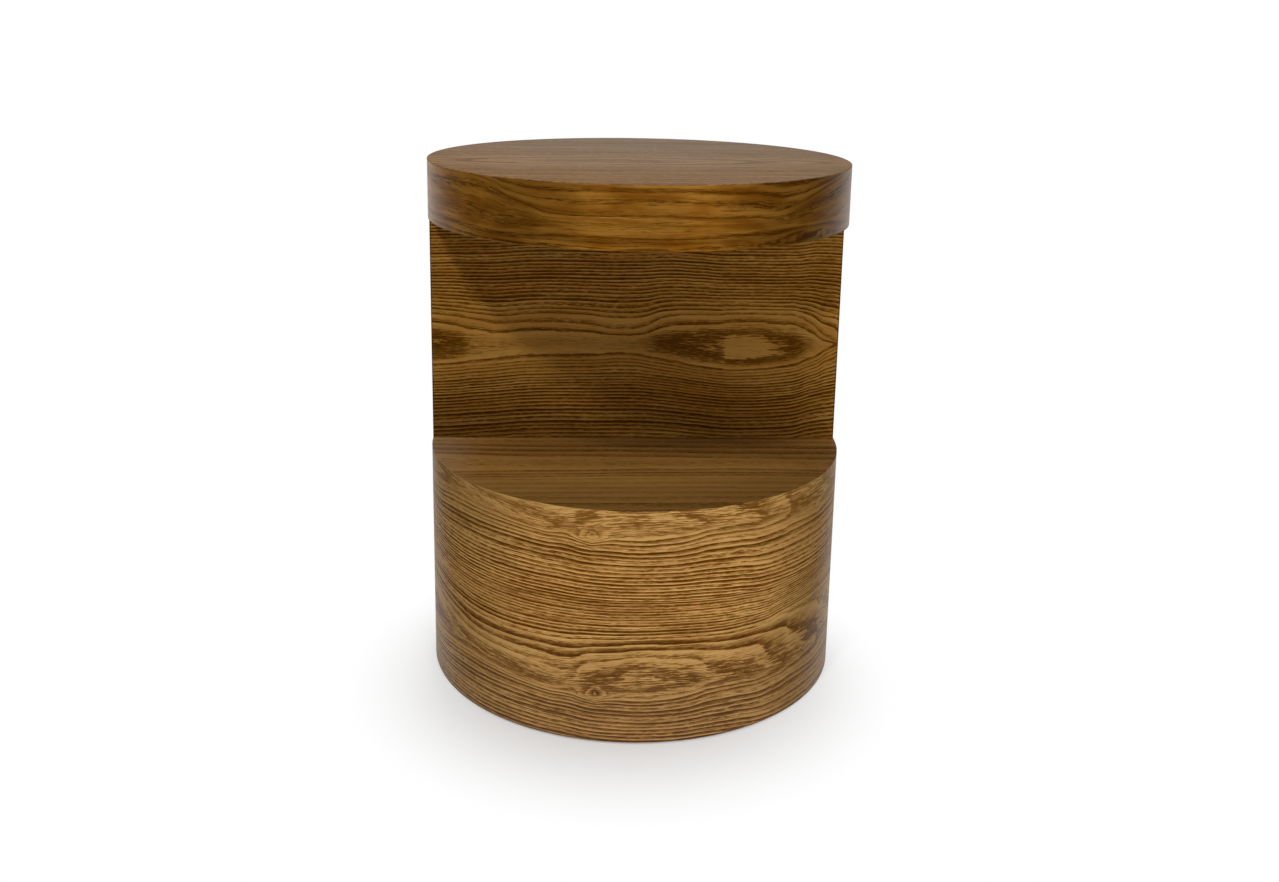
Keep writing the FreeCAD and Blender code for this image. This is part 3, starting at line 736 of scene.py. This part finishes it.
panel_oak = oak(
    "oak_panel", panel_leaf, panel_heart, panel_rings,
    (tone(0.395, 0.204, 0.046), tone(0.33, 0.152, 0.028), tone(0.055, 0.018, 0.0005)),
    seed=3.1, reach=80, wave=1.2, open_to=18, feather=0.35, contrast=0.66, dashes=2.8,
    depth=panel_depth, shade=panel_shade, edges=panel_edges,
)
drum_oak = oak(
    "oak_drum", drum_leaf, drum_heart, drum_rings,
    (tone(0.59, 0.35, 0.113), tone(0.55, 0.297, 0.092), tone(0.088, 0.029, 0.003)),
    seed=11.4, reach=30, wave=1.5, open_to=10, feather=0.42, contrast=0.92, soft=0.05, taper=0.5,
    dashes=1.9, grit=1.3, speckle=0.19, patches=(160, 40), knots=[((-42, -13), (14, 9), -2.2)],
    depth=drum_depth, shade=drum_shade, edges=foot_edge, wear_and_sheen=drum_scuffs_and_reflection, sheen=0.45,
)
rim_oak = oak(
    "oak_rim", rim_leaf, rim_heart, rim_rings,
    (tone(0.285, 0.13, 0.018), tone(0.165, 0.058, 0.004), tone(0.038, 0.013, 0.0006)),
    seed=23.7, reach=40, wave=3.4, open_to=12, feather=0.3, contrast=0.95, onset=0.45, soft=0.1,
    taper=0.3, dashes=1.2, patches=(50, 7), depth=rim_depth, shade=rim_tone, wear_and_sheen=rim_wear,
    sheen=0.8, sheen_from=0.35,
)
shelf_oak = oak(
    "oak_shelf", shelf_leaf, shelf_heart, shelf_rings,
    (tone(0.36, 0.185, 0.047), tone(0.31, 0.15, 0.035), tone(0.08, 0.03, 0.004)),
    seed=31.2, reach=60, wave=0.8, open_to=12, feather=0.4, contrast=0.55, onset=0.2, dashes=4,
    grit=1.2, depth=shelf_depth, shade=shelf_shade, wear_and_sheen=shelf_painted_sheen,
)
top_oak = oak(
    "oak_top", top_leaf, top_heart, top_rings,
    (tone(0.35, 0.194, 0.072), tone(0.308, 0.164, 0.058), tone(0.10, 0.045, 0.012)),
    seed=47.9, reach=70, contrast=0.6, dashes=4, grit=1.2, shade=top_shade, wear_and_sheen=top_painted_sheen,
    lacquer=1.042,
)
back_oak = oak(
    "oak_back", back_leaf, back_heart, panel_rings,
    (tone(0.50, 0.27, 0.07), tone(0.42, 0.2, 0.045), tone(0.075, 0.025, 0.002)),
    seed=59.3, reach=60, wave=2,
)
print("veneers:", [m.name for m in (panel_oak, drum_oak, rim_oak, shelf_oak, top_oak, back_oak)])

# %% [markdown]
# ## Sheets bent round the drum
#
# The rim, the drum and the back of the column are sheets wrapped round a circle. That is a rule, so a
# Geometry Nodes tree makes them: an arc is the way round, a rectangle with eased corners is the cut edge of
# the sheet, and Curve to Mesh draws the one along the other. The ends are capped where the sheet butts.


# %% The tree for a wrapped sheet
def new_tree(name, first, sizes):
    """An empty Geometry Nodes tree: a first input as (name, socket type), named sizes, and a material."""
    tree = bpy.data.node_groups.new(name, "GeometryNodeTree")
    inputs = [first, *((label, "NodeSocketFloat") for label in sizes), ("Material", "NodeSocketMaterial")]
    for label, kind in inputs:
        tree.interface.new_socket(label, in_out="INPUT", socket_type=kind)
    tree.interface.new_socket("Geometry", in_out="OUTPUT", socket_type="NodeSocketGeometry")
    source = Wire(tree).node("NodeGroupInput")
    return tree, {label: source.beside(label) for label, kind in inputs}


def end_tree(geometry, material):
    """Closes a tree with Realize Instances and Set Material."""
    whole = geometry.node("GeometryNodeRealizeInstances", None, (geometry,))
    painted = whole.node("GeometryNodeSetMaterial", None, {"Geometry": whole, "Material": material})
    painted.node("NodeGroupOutput", None, (painted,))


def lifted(geometry, height):
    """The shape moved up by this height."""
    up = height.node("ShaderNodeCombineXYZ", None, (0.0, 0.0, height))
    return geometry.node("GeometryNodeTransform", None, {"Geometry": geometry, "Translation": up})


def drawn_along(way, width, height, ease, faces, caps):
    """A bar with eased edges, drawn along a curve that lies flat."""
    way = way.node("GeometryNodeSetCurveNormal", {"mode": "Z_UP"}, {"Curve": way})
    sides = {"Width": width, "Height": height}
    cut = way.node("GeometryNodeCurvePrimitiveQuadrilateral", {"mode": "RECTANGLE"}, sides)
    corners = {"Curve": cut, "Count": faces, "Radius": ease}
    cut = cut.node("GeometryNodeFilletCurve", {"mode": "POLY"}, corners)
    path = {"Curve": way, "Profile Curve": cut, "Fill Caps": caps}
    return way.node("GeometryNodeCurveToMesh", None, path)


EASE_FACES = 2
sheet_sizes = ("Radius", "Thickness", "Lower", "Height", "Start", "Sweep", "Ease")
wrapped_tree, size = new_tree("wrapped_sheet", ("Steps", "NodeSocketInt"), sheet_sizes)
middle = size["Radius"] - size["Thickness"] / 2
way = middle.node("GeometryNodeCurveArc", {"mode": "RADIUS"}, {
    "Resolution": size["Steps"], "Radius": middle, "Start Angle": size["Start"],
    "Sweep Angle": size["Sweep"],
})
bent = drawn_along(way, size["Thickness"], size["Height"], size["Ease"], EASE_FACES, caps=True)
bent = lifted(bent, size["Lower"] + size["Height"] / 2)
end_tree(bent, size["Material"])
print("tree", wrapped_tree.name, "with", len(wrapped_tree.nodes), "nodes")

# %% [markdown]
# A tree is run on a carrier object, and its result is copied into a plain mesh, because a finished piece
# keeps no live modifier. Faces that meet at a low angle shade smooth, and the cut edges stay crisp.


# %% Run a tree and keep the piece
CRISP = math.radians(32)


def keep(name, mesh, node_names):
    """Makes a mesh a finished piece of the table, standing for these solid nodes."""
    for face in mesh.polygons:
        face.use_smooth = True
    mesh.set_sharp_from_angle(angle=CRISP)
    mesh.name = name
    piece = bpy.data.objects.new(name, mesh)
    scene.collection.objects.link(piece)
    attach(piece, "root")
    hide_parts(*node_names)
    triangles = sum(len(face.vertices) - 2 for face in mesh.polygons)
    print(f"{name}: {triangles} triangles")


def run_tree(tree, sizes, points=()):
    """Runs a tree with these named sizes and returns its result as a plain mesh."""
    seed_mesh = bpy.data.meshes.new("carrier")
    seed_mesh.from_pydata(list(points), [], [])
    carrier = bpy.data.objects.new("carrier", seed_mesh)
    scene.collection.objects.link(carrier)
    modifier = carrier.modifiers.new("tree", "NODES")
    modifier.node_group = tree
    for item in tree.interface.items_tree:
        if item.in_out == "INPUT" and item.name in sizes:
            modifier[item.identifier] = sizes[item.name]
    ready = carrier.evaluated_get(bpy.context.evaluated_depsgraph_get())
    mesh = bpy.data.meshes.new_from_object(ready)
    carrier.modifiers.remove(modifier)
    bpy.data.objects.remove(carrier)
    return mesh


print("ready to run trees")

# %% [markdown]
# The drum and the rim go right round and butt in a fine seam at the back. The back of the column is a half
# round. A sander eases every cut edge by about a fifth of a millimetre.


# %% Wrap the drum, the rim and the back
TURN = 2 * math.pi
CIRCLE_STEPS = 384
SEAM = 0.12 * MM
EASE = 0.18 * MM


def wrap(name, node, low, high, turn, material):
    """Bends a sheet round the drum. turn is its start angle, its sweep and its number of points."""
    start, sweep, steps = turn
    sizes = {
        "Radius": RADIUS, "Thickness": SHEET, "Lower": low.z, "Height": high.z - low.z, "Start": start,
        "Sweep": sweep, "Ease": EASE, "Steps": steps, "Material": material,
    }
    keep(name, run_tree(wrapped_tree, sizes), [node])


half_seam = SEAM / 2 / RADIUS
back_start = math.asin(back_low.y / RADIUS)
all_round = (TURN / 4 + half_seam, TURN - 2 * half_seam, CIRCLE_STEPS + 1)
half_round = (back_start, TURN / 2 - 2 * back_start, CIRCLE_STEPS // 2)
wrap("drum_sheet", "base_wrap_veneer", wrap_low, wrap_high, all_round, drum_oak)
wrap("rim_sheet", "top_rim_veneer", rim_low, rim_high, all_round, rim_oak)
wrap("back_sheet", "column_back_veneer", back_low, back_high, half_round, back_oak)

# %% [markdown]
# ## Flat sheets
#
# The top, the shelf, the underside of the top and the panel are flat. Their outlines are a circle, a half
# circle and a rectangle, so bmesh makes one face, gives it the thickness of the veneer, and eases the cut
# edges as the sander does.


# %% Lay the flat sheets
def arc(start, sweep, steps, closed):
    count = steps if closed else steps + 1
    angles = [start + sweep * number / steps for number in range(count)]
    return [(RADIUS * math.cos(angle), RADIUS * math.sin(angle)) for angle in angles]


def flat_sheet(name, node, outline, material, place):
    """Lays a sheet with this outline. place turns outline and height into a point of the table."""
    build = bmesh.new()
    corners = [build.verts.new(place(a, b, 0.0)) for a, b in outline]
    face = build.faces.new(corners)
    grown = bmesh.ops.extrude_face_region(build, geom=[face])
    step_up = Vector(place(0.0, 0.0, SHEET)) - Vector(place(0.0, 0.0, 0.0))
    raised = [item for item in grown["geom"] if isinstance(item, bmesh.types.BMVert)]
    bmesh.ops.translate(build, verts=raised, vec=step_up)
    bmesh.ops.recalc_face_normals(build, faces=build.faces)
    sharp = [edge for edge in build.edges if edge.calc_face_angle(0.0) > CRISP]
    bmesh.ops.bevel(build, geom=sharp, offset=EASE, segments=EASE_FACES, profile=0.5, affect="EDGES")
    mesh = bpy.data.meshes.new(name)
    build.to_mesh(mesh)
    build.free()
    mesh.materials.append(material)
    keep(name, mesh, [node])


def lying_on(level):
    return lambda a, b, up: (a, b, level + up)


def standing_at(level):
    return lambda a, b, up: (a, level + up, b)


circle = arc(0.0, TURN, CIRCLE_STEPS, True)
front_half = arc(TURN / 2, TURN / 2, CIRCLE_STEPS // 2, False)
upright = [
    (panel_low.x, panel_low.z), (panel_high.x, panel_low.z), (panel_high.x, panel_high.z),
    (panel_low.x, panel_high.z),
]
flat_sheet("face_sheet", "top_face_veneer", circle, top_oak, lying_on(face_low.z))
flat_sheet("shelf_sheet", "base_shelf_veneer", front_half, shelf_oak, lying_on(shelf_low.z))
flat_sheet("under_sheet", "top_under_veneer", front_half, shelf_oak, lying_on(under_low.z))
flat_sheet("panel_sheet", "column_face_veneer", upright, panel_oak, standing_at(panel_low.y))

# %% [markdown]
# ## Inside and underneath
#
# The boards, skins and studs are hidden, except under the drum, where the bottom board and the edges of the
# bent plywood show. Each still gets its own material, from the record's slots: raw fibreboard is a felt of
# short fibres, bending plywood shows thin layers on its edge, and softwood has wide soft rings.


# %% Fibreboard, plywood and softwood
FIBRES = (2.2, 2.2)
PLY_LAYER = 1.7
PLY_FIBRES = (1.2, 30)
SOFT_RING = 4.2
SOFT_WAVE = (120, 20)
SOFT_FIBRES = (18, 0.5)


def fibreboard():
    material, shader, (x, y, z) = new_material("raw_fibreboard")
    felt = noise(x, y, *FIBRES, seed=5.0, detail=4.0) + noise(x, z, *FIBRES, seed=6.0, detail=4.0)
    cloud = noise(x, y, *DULL_SPOTS, seed=7.0)
    colour = blend(step(felt + cloud * 0.6, -0.35, 0.35), tone(0.2, 0.125, 0.065), tone(0.36, 0.245, 0.14))
    normal = felt.node("ShaderNodeBump", None, {"Strength": 0.3, "Distance": 0.1 * MM, "Height": felt})
    connect(shader, {"Base Color": colour, "Roughness": 0.85 + felt * 0.1, "Normal": normal})
    return material


def bending_plywood():
    material, shader, (x, y, z) = new_material("bending_plywood")
    out = x.math("SQRT", x * x + y * y)
    layers = out / PLY_LAYER
    layer = layers.math("FRACT", layers)
    fibre = noise(x + y, z, *PLY_FIBRES, seed=9.0, detail=3.0)
    colour = blend(step(layer, 0.35, 0.6), tone(0.5, 0.33, 0.18), tone(0.3, 0.18, 0.09))
    colour = blend(step(fibre, -0.2, 0.2, 0.0, 0.5), colour, tone(0.56, 0.4, 0.23))
    connect(shader, {"Base Color": colour, "Roughness": 0.75 + fibre * 0.2})
    return material


def softwood():
    material, shader, (x, y, z) = new_material("planed_softwood")
    rings = (x + y * 0.6 + noise(z, x, *SOFT_WAVE, seed=13.0) * 8) / SOFT_RING
    late = rings.math("FRACT", rings) ** 2.5
    fibre = noise(z, x + y, *SOFT_FIBRES, seed=14.0, detail=3.0)
    colour = blend(late * 0.7 + fibre * 0.3, tone(0.62, 0.43, 0.24), tone(0.42, 0.24, 0.1))
    connect(shader, {"Base Color": colour, "Roughness": 0.6 + fibre * 0.2})
    return material


print("boards and battens ready")

# %% [markdown]
# Beech shows short dark flecks, zinc plating has a cloudy bloom, and moulded nylon a faint grain.

# %% Beech, zinc and nylon
BEECH_FLECKS = (2.5, 0.4)
ZINC_BLOOM = (1.5, 1.5)
NYLON_GRAIN = (0.7, 0.7)
NYLON_CLOUDS = (9, 9)


def beech():
    material, shader, (x, y, z) = new_material("fluted_beech")
    fleck = step(noise(z, x + y, *BEECH_FLECKS, seed=17.0), 0.05, 0.25)
    colour = blend(fleck, tone(0.6, 0.4, 0.25), tone(0.4, 0.23, 0.12))
    connect(shader, {"Base Color": colour, "Roughness": 0.55 + fleck * 0.15})
    return material


def zinc_steel():
    material, shader, (x, y, z) = new_material("zinc_plated_steel")
    bloom = noise(x, y, *ZINC_BLOOM, seed=21.0, detail=4.0)
    bloom = bloom + noise(x, z, *ZINC_BLOOM, seed=22.0, detail=4.0)
    colour = blend(step(bloom, -0.4, 0.4), tone(0.42, 0.42, 0.4), tone(0.66, 0.66, 0.64))
    connect(shader, {"Base Color": colour, "Metallic": 1.0, "Roughness": 0.38 + bloom * 0.25})
    return material


def nylon():
    material, shader, (x, y, z) = new_material("moulded_nylon")
    grain = noise(x, y, *NYLON_GRAIN, seed=25.0, detail=3.0)
    cloud = noise(x, y, *NYLON_CLOUDS, seed=26.0)
    mottle = step(grain * 0.5 + cloud, -0.3, 0.3)
    colour = blend(mottle, tone(0.02, 0.016, 0.013), tone(0.045, 0.036, 0.03))
    normal = grain.node("ShaderNodeBump", None, {"Strength": 0.2, "Distance": 0.05 * MM, "Height": grain})
    connect(shader, {"Base Color": colour, "Roughness": 0.5 + grain * 0.2, "Normal": normal})
    return material


print("dowels, screws and glides ready")

# %% [markdown]
# The record says which slot each solid node takes its finish from, so one loop dresses them all.

# %% Finish the solid nodes
finishes = {
    "wood_veneer": back_oak, "fibreboard": fibreboard(), "bending_plywood": bending_plywood(),
    "batten_softwood": softwood(), "dowel_beech": beech(), "screw_steel": zinc_steel(),
    "glide_nylon": nylon(),
}
for part in frame["record"]["subparts"]:
    solid = frame["nodes"][part["node"]]
    solid.data.materials.clear()
    solid.data.materials.append(finishes[part["material_slot"]])

# %% [markdown]
# ## Screws and glides
#
# Six countersunk screws hold the bottom board to the studs, and four nailed glides carry the table. They
# repeat, so each is one Geometry Nodes tree that puts a copy at every place. The places are read from the
# solid nodes: a screw sits in the middle of its stud, and a glide at the middle of its box.


# %% Places of the screws and glides
def middle_of(node):
    low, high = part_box(node)
    return (low + high) / 2


def heights_of(node):
    low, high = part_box(node)
    return low.z, high.z


screw_low, screw_high = heights_of("bottom_screws")
nail_low, nail_high = heights_of("glide_nails")
glide_low, glide_high = heights_of("glide_1")
glide_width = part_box("glide_1")[1].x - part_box("glide_1")[0].x
stud_names = [f"base_stud_{number}" for number in range(1, 7)]
glide_names = [f"glide_{number}" for number in range(1, 5)]
screw_places = [(middle_of(name).x, middle_of(name).y, screw_low) for name in stud_names]
glide_places = [(middle_of(name).x, middle_of(name).y, glide_low) for name in glide_names]
nail_places = [(x, y, nail_low) for x, y, z in glide_places]
print(len(screw_places), "screws and", len(glide_places), "glides")

# %% [markdown]
# A head and its shank are forged from one wire, so the two shapes are joined into one. A cut or a join can
# leave slivers far finer than any tool could make, and merging the points that all but touch removes them.


# %% Shapes of fasteners
POINTS = ("Points", "NodeSocketGeometry")
WELD = 0.02 * MM
SHANK_SIDES = 24
HEAD_SIDES = 32


def welded(geometry):
    """The shape with the slivers that a cut leaves merged away."""
    return geometry.node("GeometryNodeMergeByDistance", None, {"Geometry": geometry, "Distance": WELD})


def cut_away(geometry, tool):
    """The shape without what the tool takes up."""
    settings = {"operation": "DIFFERENCE", "solver": "EXACT"}
    return geometry.node("GeometryNodeMeshBoolean", settings, {"Mesh 1": geometry, "Mesh 2": tool})


def with_shank(head, width, start, end):
    """The head made one with a round shank that runs from start to end along Z."""
    reach = end - start
    shank = reach.node("GeometryNodeMeshCylinder", None, {
        "Vertices": SHANK_SIDES, "Radius": width / 2, "Depth": reach,
    })
    shank = lifted(shank, start + reach / 2)
    settings = {"operation": "UNION", "solver": "EXACT"}
    whole = head.node("GeometryNodeMeshBoolean", settings, {"Mesh 2": head})
    connect(whole.socket.node, {"Mesh 2": shank})
    return welded(whole)


def end_with_copies(shape, size):
    """Closes a tree with a copy of the shape at every point."""
    copies = shape.node("GeometryNodeInstanceOnPoints", None, {"Points": size["Points"], "Instance": shape})
    end_tree(copies, size["Material"])


print("fastener shapes ready")

# %% [markdown]
# A countersunk head is a cone with a cross cut into it by two blades. The blades are shares of the head.

# %% The tree for countersunk screws
SCREW_HEAD = 8 * MM
SCREW_SHANK = 4 * MM
BLADE_LENGTH = 0.6
BLADE_WIDTH = 0.24
BLADE_LEVEL = -0.1
SHANK_START = 0.7

screw_tree, size = new_tree("countersunk_screws", POINTS, ("Head", "Shank", "Length"))
sink = (size["Head"] - size["Shank"]) / 2
head = sink.node("GeometryNodeMeshCone", None, {
    "Vertices": HEAD_SIDES, "Radius Top": size["Shank"] / 2, "Radius Bottom": size["Head"] / 2,
    "Depth": sink,
})
blade = size["Head"] * BLADE_LENGTH
for footprint in ((blade, blade * BLADE_WIDTH), (blade * BLADE_WIDTH, blade)):
    box_size = blade.node("ShaderNodeCombineXYZ", None, (*footprint, sink))
    box = blade.node("GeometryNodeMeshCube", None, {"Size": box_size})
    head = cut_away(head, lifted(box, sink * BLADE_LEVEL))
end_with_copies(with_shank(head, size["Shank"], sink * SHANK_START, size["Length"]), size)
screw_mesh = run_tree(screw_tree, {
    "Head": SCREW_HEAD, "Shank": SCREW_SHANK, "Length": screw_high - screw_low,
    "Material": finishes["screw_steel"],
}, screw_places)
keep("drum_screws", screw_mesh, ["bottom_screws"])

# %% [markdown]
# A glide is a low nylon ring with rounded edges, and a recess below hides the flat head of its nail.

# %% The tree for glides
NAIL_CAP = 1 * MM
NAIL_SHANK = 2.5 * MM
RECESS = 7.4 * MM
GLIDE_SIDES = 48
GLIDE_ROUND = 0.8 * MM
ROUND_FACES = 4

glide_sizes = ("Width", "Hole", "Recess", "Sunk", "Height", "Round")
glide_tree, size = new_tree("nailed_glides", POINTS, glide_sizes)
way = size["Width"].node("GeometryNodeCurvePrimitiveCircle", {"mode": "RADIUS"}, {
    "Resolution": GLIDE_SIDES, "Radius": (size["Width"] + size["Hole"]) / 4,
})
wall = (size["Width"] - size["Hole"]) / 2
pad = drawn_along(way, wall, size["Height"], size["Round"], ROUND_FACES, caps=False)
pad = lifted(pad, size["Height"] / 2)
drill = pad.node("GeometryNodeMeshCylinder", None, {
    "Vertices": GLIDE_SIDES, "Radius": size["Recess"] / 2, "Depth": size["Sunk"] * 2,
})
end_with_copies(welded(cut_away(pad, drill)), size)
glide_mesh = run_tree(glide_tree, {
    "Width": glide_width, "Hole": NAIL_SHANK, "Recess": RECESS, "Sunk": nail_low + NAIL_CAP - glide_low,
    "Height": glide_high - glide_low, "Round": GLIDE_ROUND, "Material": finishes["glide_nylon"],
}, glide_places)
keep("floor_glides", glide_mesh, glide_names)

# %% [markdown]
# The nail's head is pressed from wire, so it is a little narrower at its face. The shank starts inside it.

# %% The tree for the nails
NAIL_HEAD = 7 * MM
NAIL_FACE = 0.42
CAP_OVERLAP = 0.5

nail_tree, size = new_tree("flat_head_nails", POINTS, ("Head", "Cap", "Shank", "Length"))
cap = size["Head"].node("GeometryNodeMeshCone", None, {
    "Vertices": HEAD_SIDES, "Radius Top": size["Head"] / 2, "Radius Bottom": size["Head"] * NAIL_FACE,
    "Depth": size["Cap"],
})
end_with_copies(with_shank(cap, size["Shank"], size["Cap"] * CAP_OVERLAP, size["Length"]), size)
nail_mesh = run_tree(nail_tree, {
    "Head": NAIL_HEAD, "Cap": NAIL_CAP, "Shank": NAIL_SHANK, "Length": nail_high - nail_low,
    "Material": finishes["screw_steel"],
}, nail_places)
keep("glide_pins", nail_mesh, ["glide_nails"])

# %% [markdown]
# ## The studio
#
# The table stands on a white floor that runs out into white. The floor takes the soft shadow of the drum
# near it and fades to plain white further out, so that the picture's ground is clean.

# %% Floor
SPAN = 9.0
FLOOR_MOTTLE = (40, 40)
FADE_FROM = 75.0
FADE_TO = 275.0
FADE_WIDER = 0.98
FADE_LEFT = 12.0
FADE_FORWARD = 60.0


def seen_directly(tree):
    """1 for rays from the camera, from a mirror or through glass, and 0 for light that bounces softly."""
    camera = Wire(tree).node("ShaderNodeLightPath", output="Is Camera Ray")
    either = camera.math("MAXIMUM", camera, camera.beside("Is Glossy Ray"))
    return either.math("MAXIMUM", either, camera.beside("Is Transmission Ray"))


floor_mesh = bpy.data.meshes.new("floor")
corners = [(-SPAN, -SPAN, 0), (SPAN, -SPAN, 0), (SPAN, SPAN, 0), (-SPAN, SPAN, 0)]
floor_mesh.from_pydata(corners, [], [(0, 1, 2, 3)])
floor = bpy.data.objects.new("floor", floor_mesh)
scene.collection.objects.link(floor)
paper, paper_shader, (x, y, z) = new_material("white_floor")
tree = paper.node_tree
side = (x + FADE_LEFT) * FADE_WIDER
front = y + FADE_FORWARD
far = side.math("SQRT", side * side + front * front)
mottle = noise(x, y, *FLOOR_MOTTLE, seed=71.0)
matt = blend(step(mottle, -0.3, 0.3), tone(0.9, 0.9, 0.9), tone(0.92, 0.92, 0.92))
connect(paper_shader, {"Base Color": matt, "Roughness": 0.9 + mottle * 0.1, "Specular IOR Level": 0.0})
white = far.node("ShaderNodeEmission", None, {"Color": tone(1, 1, 1), "Strength": 1.0})
share = seen_directly(tree) * step(far, FADE_FROM, FADE_TO)
lit = Wire(tree, paper_shader.outputs[0])
ground = share.node("ShaderNodeMixShader", None, {0: share, 1: lit, 2: white})
connect(tree.nodes["Material Output"], {"Surface": ground})
floor_mesh.materials.append(paper)
print("floor", 2 * SPAN, "m wide")

# %% [markdown]
# The world is white where it is seen, but lights the table only faintly, so that the lamps shape it.

# %% World
WORLD_LIGHT = 0.04
world = bpy.data.worlds.new("studio")
scene.world = world
world.use_nodes = True
backdrop = world.node_tree.nodes["Background"]
direct = seen_directly(world.node_tree)
level = WORLD_LIGHT + direct * (1 - WORLD_LIGHT)
connect(backdrop, {"Color": tone(1, 1, 1), "Strength": level})
print("world light", WORLD_LIGHT)

# %% [markdown]
# ## Light
#
# A small lamp up at the front left draws the edge of the top's shadow across the panel. A wide soft box
# above the front lights the rim, the shelf and the drum, a low one lifts the drum's foot, and one behind
# lights the back.


# %% Lamps
KEY_DISTANCE = 3.6


def lamp(name, size, power, place, target):
    light = bpy.data.lights.new(name, "AREA")
    light.shape = "DISK"
    light.size = size
    light.energy = power
    holder = bpy.data.objects.new(name, light)
    holder.location = place
    aim = Vector(target) - Vector(place)
    holder.rotation_euler = aim.to_track_quat("-Z", "Y").to_euler()
    scene.collection.objects.link(holder)
    print(f"{name}: {power} W, {size} m wide")


key_way = Vector((-0.48, -1.0, 1.1)).normalized()
key_target = Vector((0.0, 0.0, 0.35))
lamp("key", size=0.34, power=46.0, place=key_target + key_way * KEY_DISTANCE, target=key_target)
lamp("high_front", size=0.8, power=10.0, place=(0.2, -1.2, 2.45), target=(0.0, 0.0, 0.2))
lamp("low_front", size=0.5, power=3.0, place=(0.12, -1.1, 0.5), target=(0.0, 0.0, 0.12))
lamp("back", size=1.5, power=22.0, place=(0.0, 2.2, 1.6), target=(0.0, 0.0, 0.3))

# %% [markdown]
# ## Camera
#
# The camera stands a little left of the table and looks slightly down at it, as the photograph does. Its
# place, turn and focal length were found by matching the ellipses of the top and the drum.

# %% Place the camera
PICTURE_WIDTH = 1279
SENSOR_WIDTH = 36.0
FOCAL_PIXELS = 1314.14
SHIFT_RIGHT = 6.88
SHIFT_UP = -120.0
PITCH = math.radians(13.242)
YAW = math.radians(2.844)
ROLL = math.radians(-0.975)
STAND = Vector((-66.09, -1250.61, 635.12)) * MM

ahead = Vector((math.sin(YAW) * math.cos(PITCH), math.cos(YAW) * math.cos(PITCH), -math.sin(PITCH)))
level_right = Vector((math.cos(YAW), -math.sin(YAW), 0.0))
level_down = ahead.cross(level_right)
right = math.cos(ROLL) * level_right + math.sin(ROLL) * level_down
below = math.cos(ROLL) * level_down - math.sin(ROLL) * level_right
lens = bpy.data.cameras.new("camera")
lens.sensor_fit = "HORIZONTAL"
lens.sensor_width = SENSOR_WIDTH
lens.lens = FOCAL_PIXELS / PICTURE_WIDTH * SENSOR_WIDTH
lens.shift_x = SHIFT_RIGHT / PICTURE_WIDTH
lens.shift_y = SHIFT_UP / PICTURE_WIDTH
camera = bpy.data.objects.new("camera", lens)
turn = Matrix((right, -below, -ahead)).transposed()
camera.matrix_world = Matrix.Translation(STAND) @ turn.to_4x4()
scene.collection.objects.link(camera)
scene.camera = camera
print(f"lens {lens.lens:.2f} mm at {[round(c, 3) for c in STAND]}")
